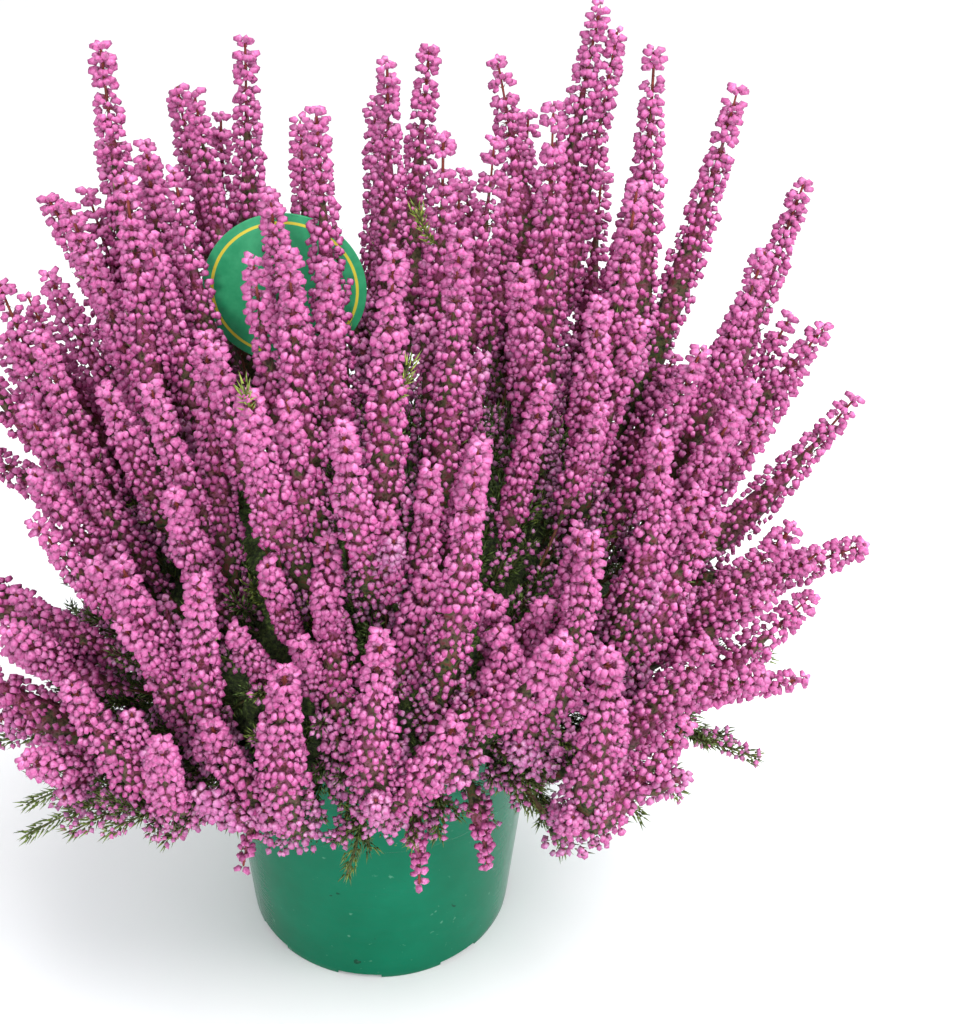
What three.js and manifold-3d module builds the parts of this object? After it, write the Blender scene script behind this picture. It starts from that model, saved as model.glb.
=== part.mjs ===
// Potted cape heath: pot, compost, plain label, leafy branches, flower sprays and rim tufts.
// Millimetres, +Z up, origin at the middle of the pot's underside, -Y is the front.
import * as THREE from 'three';
import { mergeVertices } from 'three/addons/utils/BufferGeometryUtils.js';
import Module from 'manifold-3d';

// Pot, a 13 cm nursery pot
const POT_SIDES = 32;
const POT_BASE_RADIUS = 54.8;
const POT_HEIGHT = 121;
const POT_WALL = 1.4;
const POT_TAPER = 0.08;
const LINE_HEIGHT = 78;
const LINE_STEP = 0.4;
const COLLAR_HEIGHT = 102;
const COLLAR_STEP = 1.2;
const RIM_LIP = 1.6;
const RIM_LIP_HEIGHT = 2.4;
const EDGE_SLOPE = 0.6;
const FOOT_RING_EXTRA = 0.4;
const FLOOR_BOTTOM = 3.4;
const FLOOR_TOP = 5;
const FOOT_GAPS = 8;
const FOOT_GAP_WIDTH = 18;
const FOOT_GAP_HEIGHT = 2;
const FOOT_GAP_DEPTH = 8;
const FOOT_GAP_TURN = -100;
const DRAIN_HOLES = 5;
const DRAIN_RADIUS = 4;
const DRAIN_RING = 36;
const DRAIN_SIDES = 8;

// Compost that fills the pot
const COMPOST_SIDES = 18;
const COMPOST_TOP = 109;
const COMPOST_BOTTOM = 5.4;
const COMPOST_BUMP = 1.5;
const COMPOST_CLEARANCE = 0.6;
const HOLE_RISE = 10;
const COMPOST_RING_SHARES = [0.97, 0.72, 0.44, 0.16];

// Plain round label on a stake
const LABEL_X = -31;
const LABEL_Y = 14;
const LABEL_Z = 274;
const LABEL_RADIUS = 28;
const LABEL_THICKNESS = 0.9;
const LABEL_SIDES = 32;
const STAKE_WIDTH = 8;
const STAKE_FOOT = 62;
const STAKE_SHOULDER = 255;
const POLE_RADIUS = 6;
const POLES = [
  { offset: -24, bottom: 245 },
  { offset: -8, bottom: 120 },
  { offset: 8, bottom: 120 },
  { offset: 24, bottom: 245 },
];

// Stems
const GAP = 0.4;
const SLIVER = 0.05;
const HAIR = 0.02;
const CROWN_HEIGHT = 129;
const CROWN_FOOT = 78;
const CROWN_RADIUS = 5;
const CROWN_SIDES = 8;
const BURL_RADIUS = 10;
const ROOT_DEPTH_SHARE = 0.8;
const LIMB_SIDES = 3;
const LIMB_LOWEST = 128;
const LIMB_RISE = 14;
const LONG_LIMB_REACH = 60;
const LIMB_ASIDE = 2.6;
const LIMB_DROP = 1.5;
const LIMB_LEAST_STEP = 7;
const RIM_CLEAR_HEIGHT = 132;
const RIM_CLEAR_REACH = 82;
const OVER_RIM_REACH = 70;
const STAKE_CLEARANCE = 14;
const LIMB_ROOT_RADIUS = 1.7;
const LEAFY_RINGS = 2;
const LIMB_TIP_RADIUS = 1.1;
const LIMB_END_GAP = 0.9;

// Flower spikes, their florets larger than life
const SPIKE_SECTORS = 5;
const FLORET_PITCH = 19.5;
const FLORET_NOD_SHARE = 0.15;
const SPIKE_RADIUS = 11;
const SPIKE_SHOULDER_RADIUS = 6.5;
const LOW_SPIKE_HEIGHT = 250;
const LOW_SPIKE_FADE = 50;
const LOW_SPIKE_EXTRA = 0.2;
const SPIKE_NECK_RADIUS = 3;
const SPIKE_TIP_LENGTH = 9;
const SPIKE_FOOT_LOWEST = 108;
const SPIKE_LENGTH = 88;
const TALL_SPIKE_HEIGHT = 190;
const TALL_SPIKE_EXTRA = 0.34;
const UPRIGHT_HALF_WIDTH = 60;
const UPRIGHT_HEIGHT = 300;
const UPRIGHT_FADE = 60;
const SPIKE_LEAN_ACROSS = 0.004;
const SPIKE_LEAN_DEEP = 0.0007;
const SPIKE_SWAY = 0.12;
const SIDE_BARE_SHARE = 0.3;
const VALLEY_SHARE = 0.62;
const FORK_SHARE = 0.14;
const SPIKE_NECK_LENGTH = 14;
const SPIKE_TIP_SHARE = 0.45;

// Needle leaves
const NEEDLE_REACH = 4.6;
const NEEDLE_PITCH = 6;
const NEEDLE_FORWARD = 2.2;

const GREEN_PLASTIC = { color: 0x1c805f, roughness: 0.35, metalness: 0 };
const LABEL_GREEN = { color: 0x32a573, roughness: 0.5, metalness: 0 };
const DARK_COMPOST = { color: 0x2b211a, roughness: 0.95, metalness: 0 };
const HEATH_GREEN = { color: 0x4a5a2c, roughness: 0.75, metalness: 0 };
const FLOWER_PINK = { color: 0xd765ae, roughness: 0.6, metalness: 0 };

// Tips of the sprays seen from the front: main spike and side spike, across, back and up
const FRONT_SPRAYS = [
  [[-90, 25, 350], [-105, 10, 305]],
  [[-75, 5, 325], [-92, -12, 312]],
  [[-45, 50, 345], [-62, 38, 335]],
  [[-18, -5, 340], [-30, -32, 325]],
  [[5, 28, 345], [18, 48, 345]],
  [[22, -12, 335], [38, 10, 325]],
  [[70, 25, 365], [46, 32, 345]],
  [[55, -15, 345], [45, -40, 305]],
  [[90, 12, 355], [118, 20, 340]],
  [[80, -30, 325], [68, -52, 300]],
  [[145, 15, 310], [150, -10, 270]],
  [[125, -20, 300], [120, -42, 265]],
  [[88, -72, 262], [104, -62, 225]],
  [[25, -50, 320], [30, -75, 265]],
  [[5, -72, 322], [-10, -92, 280]],
  [[-25, -62, 318], [-35, -85, 287]],
  [[-52, -50, 285], [-60, -78, 250]],
  [[-75, -25, 325], [-82, -50, 270]],
  [[-118, -2, 282], [-146, 10, 260]],
  [[-105, -30, 275], [-105, -58, 245]],
  [[-78, -85, 225], [-55, -98, 232]],
  [[-167, -32, 210], [-118, -74, 198]],
  [[-34, -108, 203], [-52, -100, 172]],
  [[30, -100, 275], [48, -109, 224]],
  [[58, -95, 240], [40, -102, 208]],
  [[140, -55, 215], [125, -75, 180]],
  [[165, -12, 240], [168, -35, 200]],
  [[70, -106, 206], [92, -100, 172]],
  [[-12, -80, 230], [16, -80, 220]],
  [[66, -74, 228], [44, -88, 208]],
  [[-138, -60, 172], [-112, -98, 165]],
  [[112, -84, 192], [138, -58, 186]],
  [[-92, -92, 184], [-66, -108, 178]],
  [[0, -112, 217], [20, -112, 186]],
];

// Rows of sprays round the back: share of the bush's half width, count, first turn, height
const BUSH_HALF_WIDTH = 150;
const BUSH_HALF_DEPTH = 119;
const BACK_ROWS = [
  { reach: 0.66, count: 5, height: 318, fall: 14 },
  { reach: 0.98, count: 7, height: 240, fall: 30 },
];
const BACK_FIRST_TURN = 22;
const BACK_TURN_RANGE = 136;
const SIDE_SPIKE_DISTANCE = 24;
const SIDE_SPIKE_DROP = 22;

// Short single spikes that hang over the rim, by turn in degrees
const TUFT_TURNS = [-139, -120, -82, -67, -38, -12, 34, 72, 104, 182];
const TUFT_FOOT_REACH = 74;
const TUFT_BEND_REACH = 90;
const TUFT_BEND_HEIGHT = 124;
const TUFT_REACH = 96;
const TUFT_TIP_HEIGHT = 99;
const TUFT_TIP_SWAY = 8;
const TUFT_THICKNESS = 0.8;

// Leafy shoots round the rim: turn in degrees, reach and height of the tip
const SHOOT_RISE_REACH = 40;
const SHOOT_RIM_REACH = 66;
const SHOOT_RIM_HEIGHT = 127;
const SHOOT_CURVE = 0.06;
const SHOOTS = [
  [-149, 146, 106],
  [-160, 146, 128],
  [-97, 98, 106],
  [-52, 106, 100],
  [-29, 152, 134],
  [0, 156, 120],
  [46, 138, 112],
  [82, 118, 106],
  [124, 132, 108],
  [166, 146, 122],
];

const wasm = await Module();
wasm.setup();

let seed = 20261;
function random() {
  seed = (seed * 16807) % 2147483647;
  return seed / 2147483647;
}

function degrees(value) {
  return value * Math.PI / 180;
}

function polar(radius, turn, height) {
  return new THREE.Vector3(radius * Math.cos(turn), radius * Math.sin(turn), height);
}

function solidFrom(points, faces) {
  const vertProperties = new Float32Array(points.flatMap((point) => [point.x, point.y, point.z]));
  const triVerts = new Uint32Array(faces.flat());
  return new wasm.Manifold(new wasm.Mesh({ numProp: 3, vertProperties, triVerts }));
}

function solidOf(geometry) {
  geometry.deleteAttribute('normal');
  geometry.deleteAttribute('uv');
  const merged = mergeVertices(geometry, 1e-4);
  const vertProperties = new Float32Array(merged.attributes.position.array);
  const triVerts = new Uint32Array(merged.index.array);
  return new wasm.Manifold(new wasm.Mesh({ numProp: 3, vertProperties, triVerts }));
}

function box(width, depth, height, x, y, z) {
  const geometry = new THREE.BoxGeometry(width, depth, height);
  geometry.translate(x, y, z);
  return solidOf(geometry);
}

function geometryOf(solid) {
  const data = solid.getMesh();
  const geometry = new THREE.BufferGeometry();
  geometry.setAttribute('position', new THREE.BufferAttribute(new Float32Array(data.vertProperties), 3));
  geometry.setIndex(new THREE.BufferAttribute(new Uint32Array(data.triVerts), 1));
  geometry.computeVertexNormals();
  return geometry;
}

// Draws points that share a place a hair into the solid, so that no two surfaces touch
function partTwins(solid) {
  const geometry = geometryOf(solid);
  const places = geometry.attributes.position;
  const normals = geometry.attributes.normal;
  const seen = new Map();
  for (let i = 0; i < places.count; i += 1) {
    const key = [places.getX(i), places.getY(i), places.getZ(i)].map((value) => value.toFixed(3)).join();
    seen.set(key, [...(seen.get(key) ?? []), i]);
  }
  const twins = [...seen.values()].filter((list) => list.length > 1).flat();
  twins.forEach((i) => {
    const x = places.getX(i) - HAIR * normals.getX(i);
    const y = places.getY(i) - HAIR * normals.getY(i);
    const z = places.getZ(i) - HAIR * normals.getZ(i);
    places.setXYZ(i, x, y, z);
  });
  const triVerts = geometry.index.array;
  return new wasm.Manifold(new wasm.Mesh({ numProp: 3, vertProperties: places.array, triVerts }));
}

// Fuses solids, merges slivers, fills sealed hollows and drops loose scraps
function fuse(solids) {
  const parts = wasm.Manifold.union(solids).simplify(SLIVER).decompose();
  parts.sort((a, b) => b.volume() - a.volume());
  return partTwins(parts[0]);
}

function meshFrom(name, solid, look) {
  const material = new THREE.MeshStandardMaterial({ ...look, flatShading: true });
  const mesh = new THREE.Mesh(geometryOf(solid), material);
  mesh.name = name;
  return mesh;
}

// Frames that turn as little as possible along a line of points
function framesAlong(points) {
  const frames = [];
  let across = null;
  points.forEach((point, i) => {
    const before = points[Math.max(i - 1, 0)];
    const after = points[Math.min(i + 1, points.length - 1)];
    const ahead = after.clone().sub(before).normalize();
    if (across === null) {
      const reference = Math.abs(ahead.x) < 0.8 ? new THREE.Vector3(1, 0, 0) : new THREE.Vector3(0, 1, 0);
      across = reference;
    }
    across = across.clone().addScaledVector(ahead, -across.dot(ahead)).normalize();
    const up = ahead.clone().cross(across);
    frames.push({ point, ahead, across, up });
  });
  return frames;
}

function around(frame, turn, radius, forward) {
  return frame.point.clone()
    .addScaledVector(frame.across, radius * Math.cos(turn))
    .addScaledVector(frame.up, radius * Math.sin(turn))
    .addScaledVector(frame.ahead, forward);
}

// Closed tube along points; where stud(ring) gives a radius and a forward, each cell rises to a peak
function tube(points, radiusAt, sides, twist, stud) {
  const frames = framesAlong(points);
  const rings = frames.length;
  const corners = [];
  const faces = [];
  const step = 2 * Math.PI / sides;
  frames.forEach((frame, ring) => {
    for (let side = 0; side < sides; side += 1) {
      corners.push(around(frame, (side + ring * twist) * step, radiusAt(ring), 0));
    }
  });
  const corner = (ring, side) => ring * sides + (side % sides);
  for (let ring = 0; ring < rings - 1; ring += 1) {
    for (let side = 0; side < sides; side += 1) {
      const a = corner(ring, side);
      const b = corner(ring, side + 1);
      const c = corner(ring + 1, side + 1);
      const d = corner(ring + 1, side);
      const raised = stud(ring);
      if (raised) {
        const middle = {
          point: frames[ring].point.clone().add(frames[ring + 1].point).multiplyScalar(0.5),
          ahead: frames[ring].ahead,
          across: frames[ring].across,
          up: frames[ring].up,
        };
        const peak = corners.length;
        const turn = (side + 0.5 + (ring + 0.5) * twist) * step;
        corners.push(around(middle, turn, raised.radius, raised.forward));
        faces.push([a, b, peak], [b, c, peak], [c, d, peak], [d, a, peak]);
      } else {
        faces.push([a, b, d], [b, c, d]);
      }
    }
  }
  const foot = corners.length;
  corners.push(frames[0].point.clone());
  const head = corners.length;
  corners.push(frames[rings - 1].point.clone());
  for (let side = 0; side < sides; side += 1) {
    faces.push([corner(0, side + 1), corner(0, side), foot]);
    faces.push([corner(rings - 1, side), corner(rings - 1, side + 1), head]);
  }
  return solidFrom(corners, faces);
}

function plain() {
  return null;
}

function bend(a, b, c, share) {
  const first = a.clone().lerp(b, share);
  const second = b.clone().lerp(c, share);
  return first.lerp(second, share);
}

function pointsOnBend(a, b, c, count) {
  return Array.from({ length: count + 1 }, (_, i) => bend(a, b, c, i / count));
}

function potRadiusAt(height) {
  const step = height > LINE_HEIGHT ? LINE_STEP : 0;
  return POT_BASE_RADIUS + POT_TAPER * height + step;
}

function makePot() {
  const collarTop = potRadiusAt(POT_HEIGHT) + COLLAR_STEP;
  const footInside = POT_BASE_RADIUS - POT_WALL - FOOT_RING_EXTRA;
  const lineTop = LINE_HEIGHT + EDGE_SLOPE;
  const collarEdge = COLLAR_HEIGHT + EDGE_SLOPE;
  const lipUnder = POT_HEIGHT - RIM_LIP_HEIGHT;
  const profile = [
    [0, FLOOR_BOTTOM],
    [footInside, FLOOR_BOTTOM],
    [footInside, 0],
    [POT_BASE_RADIUS, 0],
    [potRadiusAt(LINE_HEIGHT), LINE_HEIGHT],
    [potRadiusAt(lineTop), lineTop],
    [potRadiusAt(COLLAR_HEIGHT), COLLAR_HEIGHT],
    [potRadiusAt(COLLAR_HEIGHT) + COLLAR_STEP, collarEdge],
    [collarTop, lipUnder],
    [collarTop + RIM_LIP, lipUnder + EDGE_SLOPE],
    [collarTop + RIM_LIP, POT_HEIGHT],
    [collarTop - POT_WALL, POT_HEIGHT],
    [potRadiusAt(COLLAR_HEIGHT) - POT_WALL, collarEdge],
    [potRadiusAt(FLOOR_TOP) - POT_WALL, FLOOR_TOP],
    [0, FLOOR_TOP],
  ];
  const outline = profile.map(([radius, height]) => new THREE.Vector2(radius, height));
  const turned = new THREE.LatheGeometry(outline, POT_SIDES);
  turned.rotateX(Math.PI / 2);
  const cuts = [];
  for (let i = 0; i < FOOT_GAPS; i += 1) {
    const gap = new THREE.BoxGeometry(FOOT_GAP_DEPTH, FOOT_GAP_WIDTH, FOOT_GAP_HEIGHT + 1);
    gap.translate(POT_BASE_RADIUS - 1, 0, (FOOT_GAP_HEIGHT - 1) / 2);
    gap.rotateZ(degrees(FOOT_GAP_TURN + i * 360 / FOOT_GAPS));
    cuts.push(solidOf(gap));
  }
  for (let i = 0; i < DRAIN_HOLES; i += 1) {
    const depth = 2 * (FLOOR_TOP - FLOOR_BOTTOM);
    const hole = new THREE.CylinderGeometry(DRAIN_RADIUS, DRAIN_RADIUS, depth, DRAIN_SIDES);
    hole.rotateX(Math.PI / 2);
    hole.translate(DRAIN_RING, 0, (FLOOR_BOTTOM + FLOOR_TOP) / 2);
    hole.rotateZ(i * 2 * Math.PI / DRAIN_HOLES);
    cuts.push(solidOf(hole));
  }
  return solidOf(turned).subtract(wasm.Manifold.union(cuts));
}

function makeCompost(holes) {
  const inset = POT_WALL + COMPOST_CLEARANCE;
  const topRadius = potRadiusAt(COMPOST_TOP) + COLLAR_STEP - inset - GAP;
  const lineRadius = potRadiusAt(COLLAR_HEIGHT) - inset;
  const bottomRadius = potRadiusAt(COMPOST_BOTTOM) - inset;
  const points = [];
  const faces = [];
  const addRing = (radius, height, bump) => {
    for (let i = 0; i < COMPOST_SIDES; i += 1) {
      const turn = 2 * Math.PI * i / COMPOST_SIDES;
      points.push(polar(radius, turn, height + bump * (random() - 0.5)));
    }
  };
  addRing(bottomRadius, COMPOST_BOTTOM, 0);
  addRing(lineRadius, COLLAR_HEIGHT, 0);
  COMPOST_RING_SHARES.forEach((share) => addRing(topRadius * share, COMPOST_TOP, COMPOST_BUMP));
  const rings = 2 + COMPOST_RING_SHARES.length;
  const at = (ring, i) => ring * COMPOST_SIDES + (i % COMPOST_SIDES);
  for (let ring = 0; ring < rings - 1; ring += 1) {
    for (let i = 0; i < COMPOST_SIDES; i += 1) {
      faces.push([at(ring, i), at(ring, i + 1), at(ring + 1, i + 1)]);
      faces.push([at(ring, i), at(ring + 1, i + 1), at(ring + 1, i)]);
    }
  }
  const under = points.length;
  points.push(new THREE.Vector3(0, 0, COMPOST_BOTTOM));
  const middle = points.length;
  points.push(new THREE.Vector3(0, 0, COMPOST_TOP));
  for (let i = 0; i < COMPOST_SIDES; i += 1) {
    faces.push([at(0, i + 1), at(0, i), under]);
    faces.push([at(rings - 1, i), at(rings - 1, i + 1), middle]);
  }
  return solidFrom(points, faces).subtract(wasm.Manifold.union(holes));
}

function makeLabel() {
  const disc = new THREE.CylinderGeometry(LABEL_RADIUS, LABEL_RADIUS, LABEL_THICKNESS, LABEL_SIDES);
  disc.translate(LABEL_X, LABEL_Y, LABEL_Z);
  const stakeHeight = STAKE_SHOULDER - STAKE_FOOT;
  const stakeMiddle = (STAKE_SHOULDER + STAKE_FOOT) / 2;
  const stake = box(STAKE_WIDTH, LABEL_THICKNESS, stakeHeight, LABEL_X, LABEL_Y, stakeMiddle);
  return fuse([solidOf(disc), stake]);
}

function makeStakeHole() {
  const depth = COMPOST_TOP - STAKE_FOOT + HOLE_RISE;
  const middle = STAKE_FOOT - GAP + depth / 2;
  const side = 2 * GAP;
  return box(STAKE_WIDTH + side, LABEL_THICKNESS + side, depth, LABEL_X, LABEL_Y, middle);
}

function makeCrownHole() {
  const depth = COMPOST_TOP - CROWN_FOOT + HOLE_RISE;
  const hole = new THREE.CylinderGeometry(CROWN_RADIUS + GAP, CROWN_RADIUS + GAP, depth, CROWN_SIDES);
  hole.rotateX(Math.PI / 2);
  hole.translate(0, 0, CROWN_FOOT - GAP + depth / 2);
  return solidOf(hole);
}

// A low foot stands outside the pot's rim
function clearOfRim(foot) {
  const reach = Math.hypot(foot.x, foot.y);
  if (foot.z < RIM_CLEAR_HEIGHT && reach < RIM_CLEAR_REACH) {
    foot.x *= RIM_CLEAR_REACH / reach;
    foot.y *= RIM_CLEAR_REACH / reach;
  }
  return foot;
}

// A spike's line: upright high in the bush, leaning out low at its sides
function spikeLine(tip) {
  const spread = Math.max(1 + (UPRIGHT_HEIGHT - tip.z) / UPRIGHT_FADE, 0.2);
  const aside = Math.sign(tip.x) * Math.max(Math.abs(tip.x) - UPRIGHT_HALF_WIDTH, 0);
  const leanX = aside * SPIKE_LEAN_ACROSS * spread + SPIKE_SWAY * (random() - 0.5);
  const leanY = tip.y * SPIKE_LEAN_DEEP * spread;
  const extra = TALL_SPIKE_EXTRA * Math.max(tip.z - TALL_SPIKE_HEIGHT, 0);
  const length = Math.min(SPIKE_LENGTH + extra, tip.z - SPIKE_FOOT_LOWEST);
  const upper = new THREE.Vector3(leanX * 0.8, leanY * 0.8, 1).normalize();
  const lower = new THREE.Vector3(leanX * 1.3, leanY * 1.3, 1).normalize();
  const middle = tip.clone().addScaledVector(upper, -length / 2);
  const foot = clearOfRim(middle.clone().addScaledVector(lower, -length / 2));
  const lowness = THREE.MathUtils.clamp((LOW_SPIKE_HEIGHT - tip.z) / LOW_SPIKE_FADE, 0, 1);
  const thickness = 1 + LOW_SPIKE_EXTRA * lowness;
  return { foot, middle, tip: tip.clone(), length, fixed: false, bareShare: 0, thickness };
}

function sideLine(main, tip) {
  const line = spikeLine(tip);
  line.foot = bend(main.foot, main.middle, main.tip, FORK_SHARE);
  line.middle = tip.clone().lerp(line.middle, 0.85);
  line.length = line.foot.distanceTo(tip);
  line.isSide = true;
  line.bareShare = SIDE_BARE_SHARE;
  return line;
}

function spikeRadiusAt(line, share) {
  const left = (1 - share) * line.length;
  const risen = Math.max(share - line.bareShare, 0) * line.length;
  const shoulder = line.thickness * THREE.MathUtils.lerp(SPIKE_RADIUS, SPIKE_SHOULDER_RADIUS, share);
  const towardsTip = THREE.MathUtils.lerp(SPIKE_TIP_SHARE, 1, Math.min(left / SPIKE_TIP_LENGTH, 1));
  const aboveNeck = Math.min(risen / SPIKE_NECK_LENGTH, 1);
  return THREE.MathUtils.lerp(SPIKE_NECK_RADIUS, shoulder * towardsTip, aboveNeck);
}

function makeSpike(line) {
  const rings = Math.max(3, Math.round(line.length / FLORET_PITCH));
  const nod = FLORET_NOD_SHARE * line.length / rings;
  const points = pointsOnBend(line.foot, line.middle, line.tip, rings);
  const bareRings = Math.round(line.bareShare * rings);
  const outer = (ring) => spikeRadiusAt(line, (ring + 0.5) / rings);
  const valley = (ring) => {
    if (ring === 0 || ring < bareRings) {
      return SPIKE_NECK_RADIUS * 0.7;
    }
    return spikeRadiusAt(line, ring / rings) * VALLEY_SHARE;
  };
  const floret = (ring) => (ring < bareRings ? null : { radius: outer(ring), forward: -nod });
  return tube(points, valley, SPIKE_SECTORS, 0.5, floret);
}

// Poles that keep the spikes clear of the label
function labelPoles() {
  return POLES.map(({ offset, bottom }) => {
    const x = LABEL_X + offset;
    const foot = new THREE.Vector3(x, LABEL_Y, bottom);
    const tip = new THREE.Vector3(x, LABEL_Y, LABEL_Z + LABEL_RADIUS);
    const middle = foot.clone().add(tip).multiplyScalar(0.5);
    return { foot, middle, tip, fixed: true, spray: -1, poleRadius: POLE_RADIUS };
  });
}

const STATIONS = [0.05, 0.2, 0.35, 0.5, 0.65, 0.8, 0.95];

function separate(first, second) {
  let nearest = null;
  for (const a of STATIONS) {
    const onFirst = bend(first.foot, first.middle, first.tip, a);
    const firstRadius = first.poleRadius ?? spikeRadiusAt(first, a);
    for (const b of STATIONS) {
      if (first.spray === second.spray && Math.min(a, b) < 0.5) {
        continue;
      }
      const onSecond = bend(second.foot, second.middle, second.tip, b);
      const secondRadius = second.poleRadius ?? spikeRadiusAt(second, b);
      const offset = onSecond.sub(onFirst);
      const short = firstRadius + secondRadius + 1 - offset.length();
      if (nearest === null || short > nearest.short) {
        nearest = { short, offset, a, b };
      }
    }
  }
  if (nearest.short <= 0) {
    return;
  }
  const push = new THREE.Vector3(nearest.offset.x, nearest.offset.y, 0);
  push.normalize().multiplyScalar(nearest.short * 0.55);
  shift(first, push, nearest.a, -1);
  shift(second, push, nearest.b, 1);
}

function shift(line, push, share, way) {
  if (line.fixed) {
    return;
  }
  if (!line.isSide) {
    line.foot.addScaledVector(push, way * (1 - share));
  }
  line.middle.addScaledVector(push, way * 0.7);
  line.tip.addScaledVector(push, way * share);
}

function spreadOut(lines, rounds) {
  for (let round = 0; round < rounds; round += 1) {
    for (let i = 0; i < lines.length; i += 1) {
      for (let j = i + 1; j < lines.length; j += 1) {
        separate(lines[i], lines[j]);
      }
    }
    lines.filter((line) => line.isSide).forEach((line) => {
      line.foot.copy(bend(line.main.foot, line.main.middle, line.main.tip, FORK_SHARE));
    });
  }
}

function backSprays() {
  return BACK_ROWS.flatMap(({ reach, count, height, fall }) => Array.from({ length: count }, (_, i) => {
    const turn = degrees(BACK_FIRST_TURN + BACK_TURN_RANGE * i / (count - 1));
    const outward = new THREE.Vector3(Math.cos(turn), Math.sin(turn), 0);
    const x = outward.x * BUSH_HALF_WIDTH * reach;
    const y = outward.y * BUSH_HALF_DEPTH * reach;
    const main = new THREE.Vector3(x, y, height + fall * (random() - 0.5));
    const side = main.clone();
    side.x += SIDE_SPIKE_DISTANCE * Math.cos(turn + Math.PI / 2);
    side.y += SIDE_SPIKE_DISTANCE * Math.sin(turn + Math.PI / 2);
    side.z -= SIDE_SPIKE_DROP * (0.5 + random());
    return [main, side];
  }));
}

function rimTufts() {
  return TUFT_TURNS.map((degreesTurn) => {
    const turn = degrees(degreesTurn);
    const foot = polar(TUFT_FOOT_REACH, turn, POT_HEIGHT + 6);
    const middle = polar(TUFT_BEND_REACH, turn, TUFT_BEND_HEIGHT);
    const tip = polar(TUFT_REACH, turn, TUFT_TIP_HEIGHT + TUFT_TIP_SWAY * (random() - 0.5));
    const length = foot.distanceTo(tip);
    return { foot, middle, tip, length, thickness: TUFT_THICKNESS, bareShare: 0, fixed: true };
  });
}

function layOutSprays() {
  const front = FRONT_SPRAYS.map((pair) => pair.map((tip) => new THREE.Vector3(...tip)));
  const sprays = [...front, ...backSprays()].map(([mainTip, sideTip], spray) => {
    const main = { ...spikeLine(mainTip), spray };
    const side = { ...sideLine(main, sideTip), spray, main };
    return [main, side];
  });
  const tufts = rimTufts().map((line, i) => ({ ...line, spray: sprays.length + i }));
  spreadOut([...labelPoles(), ...tufts, ...sprays.flat()], 80);
  return { sprays, tufts };
}

// Turns a branch's way aside where the label's stake stands
function clearOfStake(turn) {
  const stakeTurn = Math.atan2(LABEL_Y, LABEL_X);
  const apart = Math.atan2(Math.sin(turn - stakeTurn), Math.cos(turn - stakeTurn));
  const needed = degrees(STAKE_CLEARANCE);
  if (Math.abs(apart) >= needed) {
    return turn;
  }
  return stakeTurn + Math.sign(apart) * needed;
}

// Where a branch that heads for a point leaves the burl
function burlRoot(target) {
  const burl = new THREE.Vector3(0, 0, CROWN_HEIGHT - BURL_RADIUS);
  return target.clone().sub(burl).normalize().multiplyScalar(BURL_RADIUS * ROOT_DEPTH_SHARE).add(burl);
}

// A branch from the crown to a spray's foot, over the rim where the foot is low outside the pot
function limbWay(foot, arrival) {
  const turn = Math.atan2(foot.y, foot.x);
  const reach = Math.hypot(foot.x, foot.y);
  const start = burlRoot(foot);
  if (reach > OVER_RIM_REACH && foot.z < RIM_CLEAR_HEIGHT) {
    const overRim = polar(OVER_RIM_REACH, turn, LIMB_LOWEST - 1);
    const way = reach > OVER_RIM_REACH + LIMB_LEAST_STEP ? [start, overRim] : [start];
    const back = way[way.length - 1].clone().sub(foot).normalize();
    const aside = LIMB_END_GAP + LIMB_ASIDE * back.clone().cross(arrival).length();
    return [...way, foot.clone().addScaledVector(back, aside).addScaledVector(arrival, -LIMB_DROP)];
  }
  const end = foot.clone().addScaledVector(arrival, -LIMB_END_GAP);
  const before = end.clone().addScaledVector(arrival, -LEAFY_RINGS * NEEDLE_PITCH);
  before.z = Math.max(before.z, LIMB_LOWEST - 3);
  if (reach < LONG_LIMB_REACH) {
    return [start, before, end];
  }
  const height = Math.max(LIMB_LOWEST, before.z - LIMB_RISE);
  return [start, polar(reach * 0.6, clearOfStake(turn), height), before, end];
}

// A stem along a way, with needle leaves after the given number of bare lengths
function leafyStem(way, bareLengths) {
  const last = way.length - 1;
  const radiusAt = (ring) => THREE.MathUtils.lerp(LIMB_ROOT_RADIUS, LIMB_TIP_RADIUS, Math.min(ring / 3, 1));
  const needle = (ring) => {
    if (ring < bareLengths) {
      return null;
    }
    return { radius: NEEDLE_REACH * (1 - 0.3 * ring / last), forward: NEEDLE_FORWARD };
  };
  return tube(way, radiusAt, LIMB_SIDES, 0.5, needle);
}

function makeLimb({ foot, middle }) {
  const points = limbWay(foot, middle.clone().sub(foot).normalize());
  const last = points.length - 1;
  const stretch = points[last].distanceTo(points[last - 1]);
  if (stretch < LEAFY_RINGS * NEEDLE_PITCH * 0.9) {
    return leafyStem(points, last);
  }
  const way = points.slice(0, last);
  for (let i = 1; i <= LEAFY_RINGS; i += 1) {
    way.push(points[last - 1].clone().lerp(points[last], i / LEAFY_RINGS));
  }
  return leafyStem(way, last - 1);
}

// A leafy shoot that leans over the rim
function makeShoot([turn, reach, height]) {
  const angle = degrees(turn);
  const overRim = polar(SHOOT_RIM_REACH, angle, SHOOT_RIM_HEIGHT);
  const halfHeight = THREE.MathUtils.lerp(SHOOT_RIM_HEIGHT, height, 0.4);
  const middle = polar((SHOOT_RIM_REACH + reach) / 2, angle + SHOOT_CURVE, halfHeight);
  const tip = polar(reach, angle, height);
  const rings = Math.round(overRim.distanceTo(tip) / NEEDLE_PITCH);
  const way = [burlRoot(overRim), polar(SHOOT_RISE_REACH, angle, LIMB_LOWEST)];
  return leafyStem([...way, ...pointsOnBend(overRim, middle, tip, rings)], way.length);
}

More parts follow.
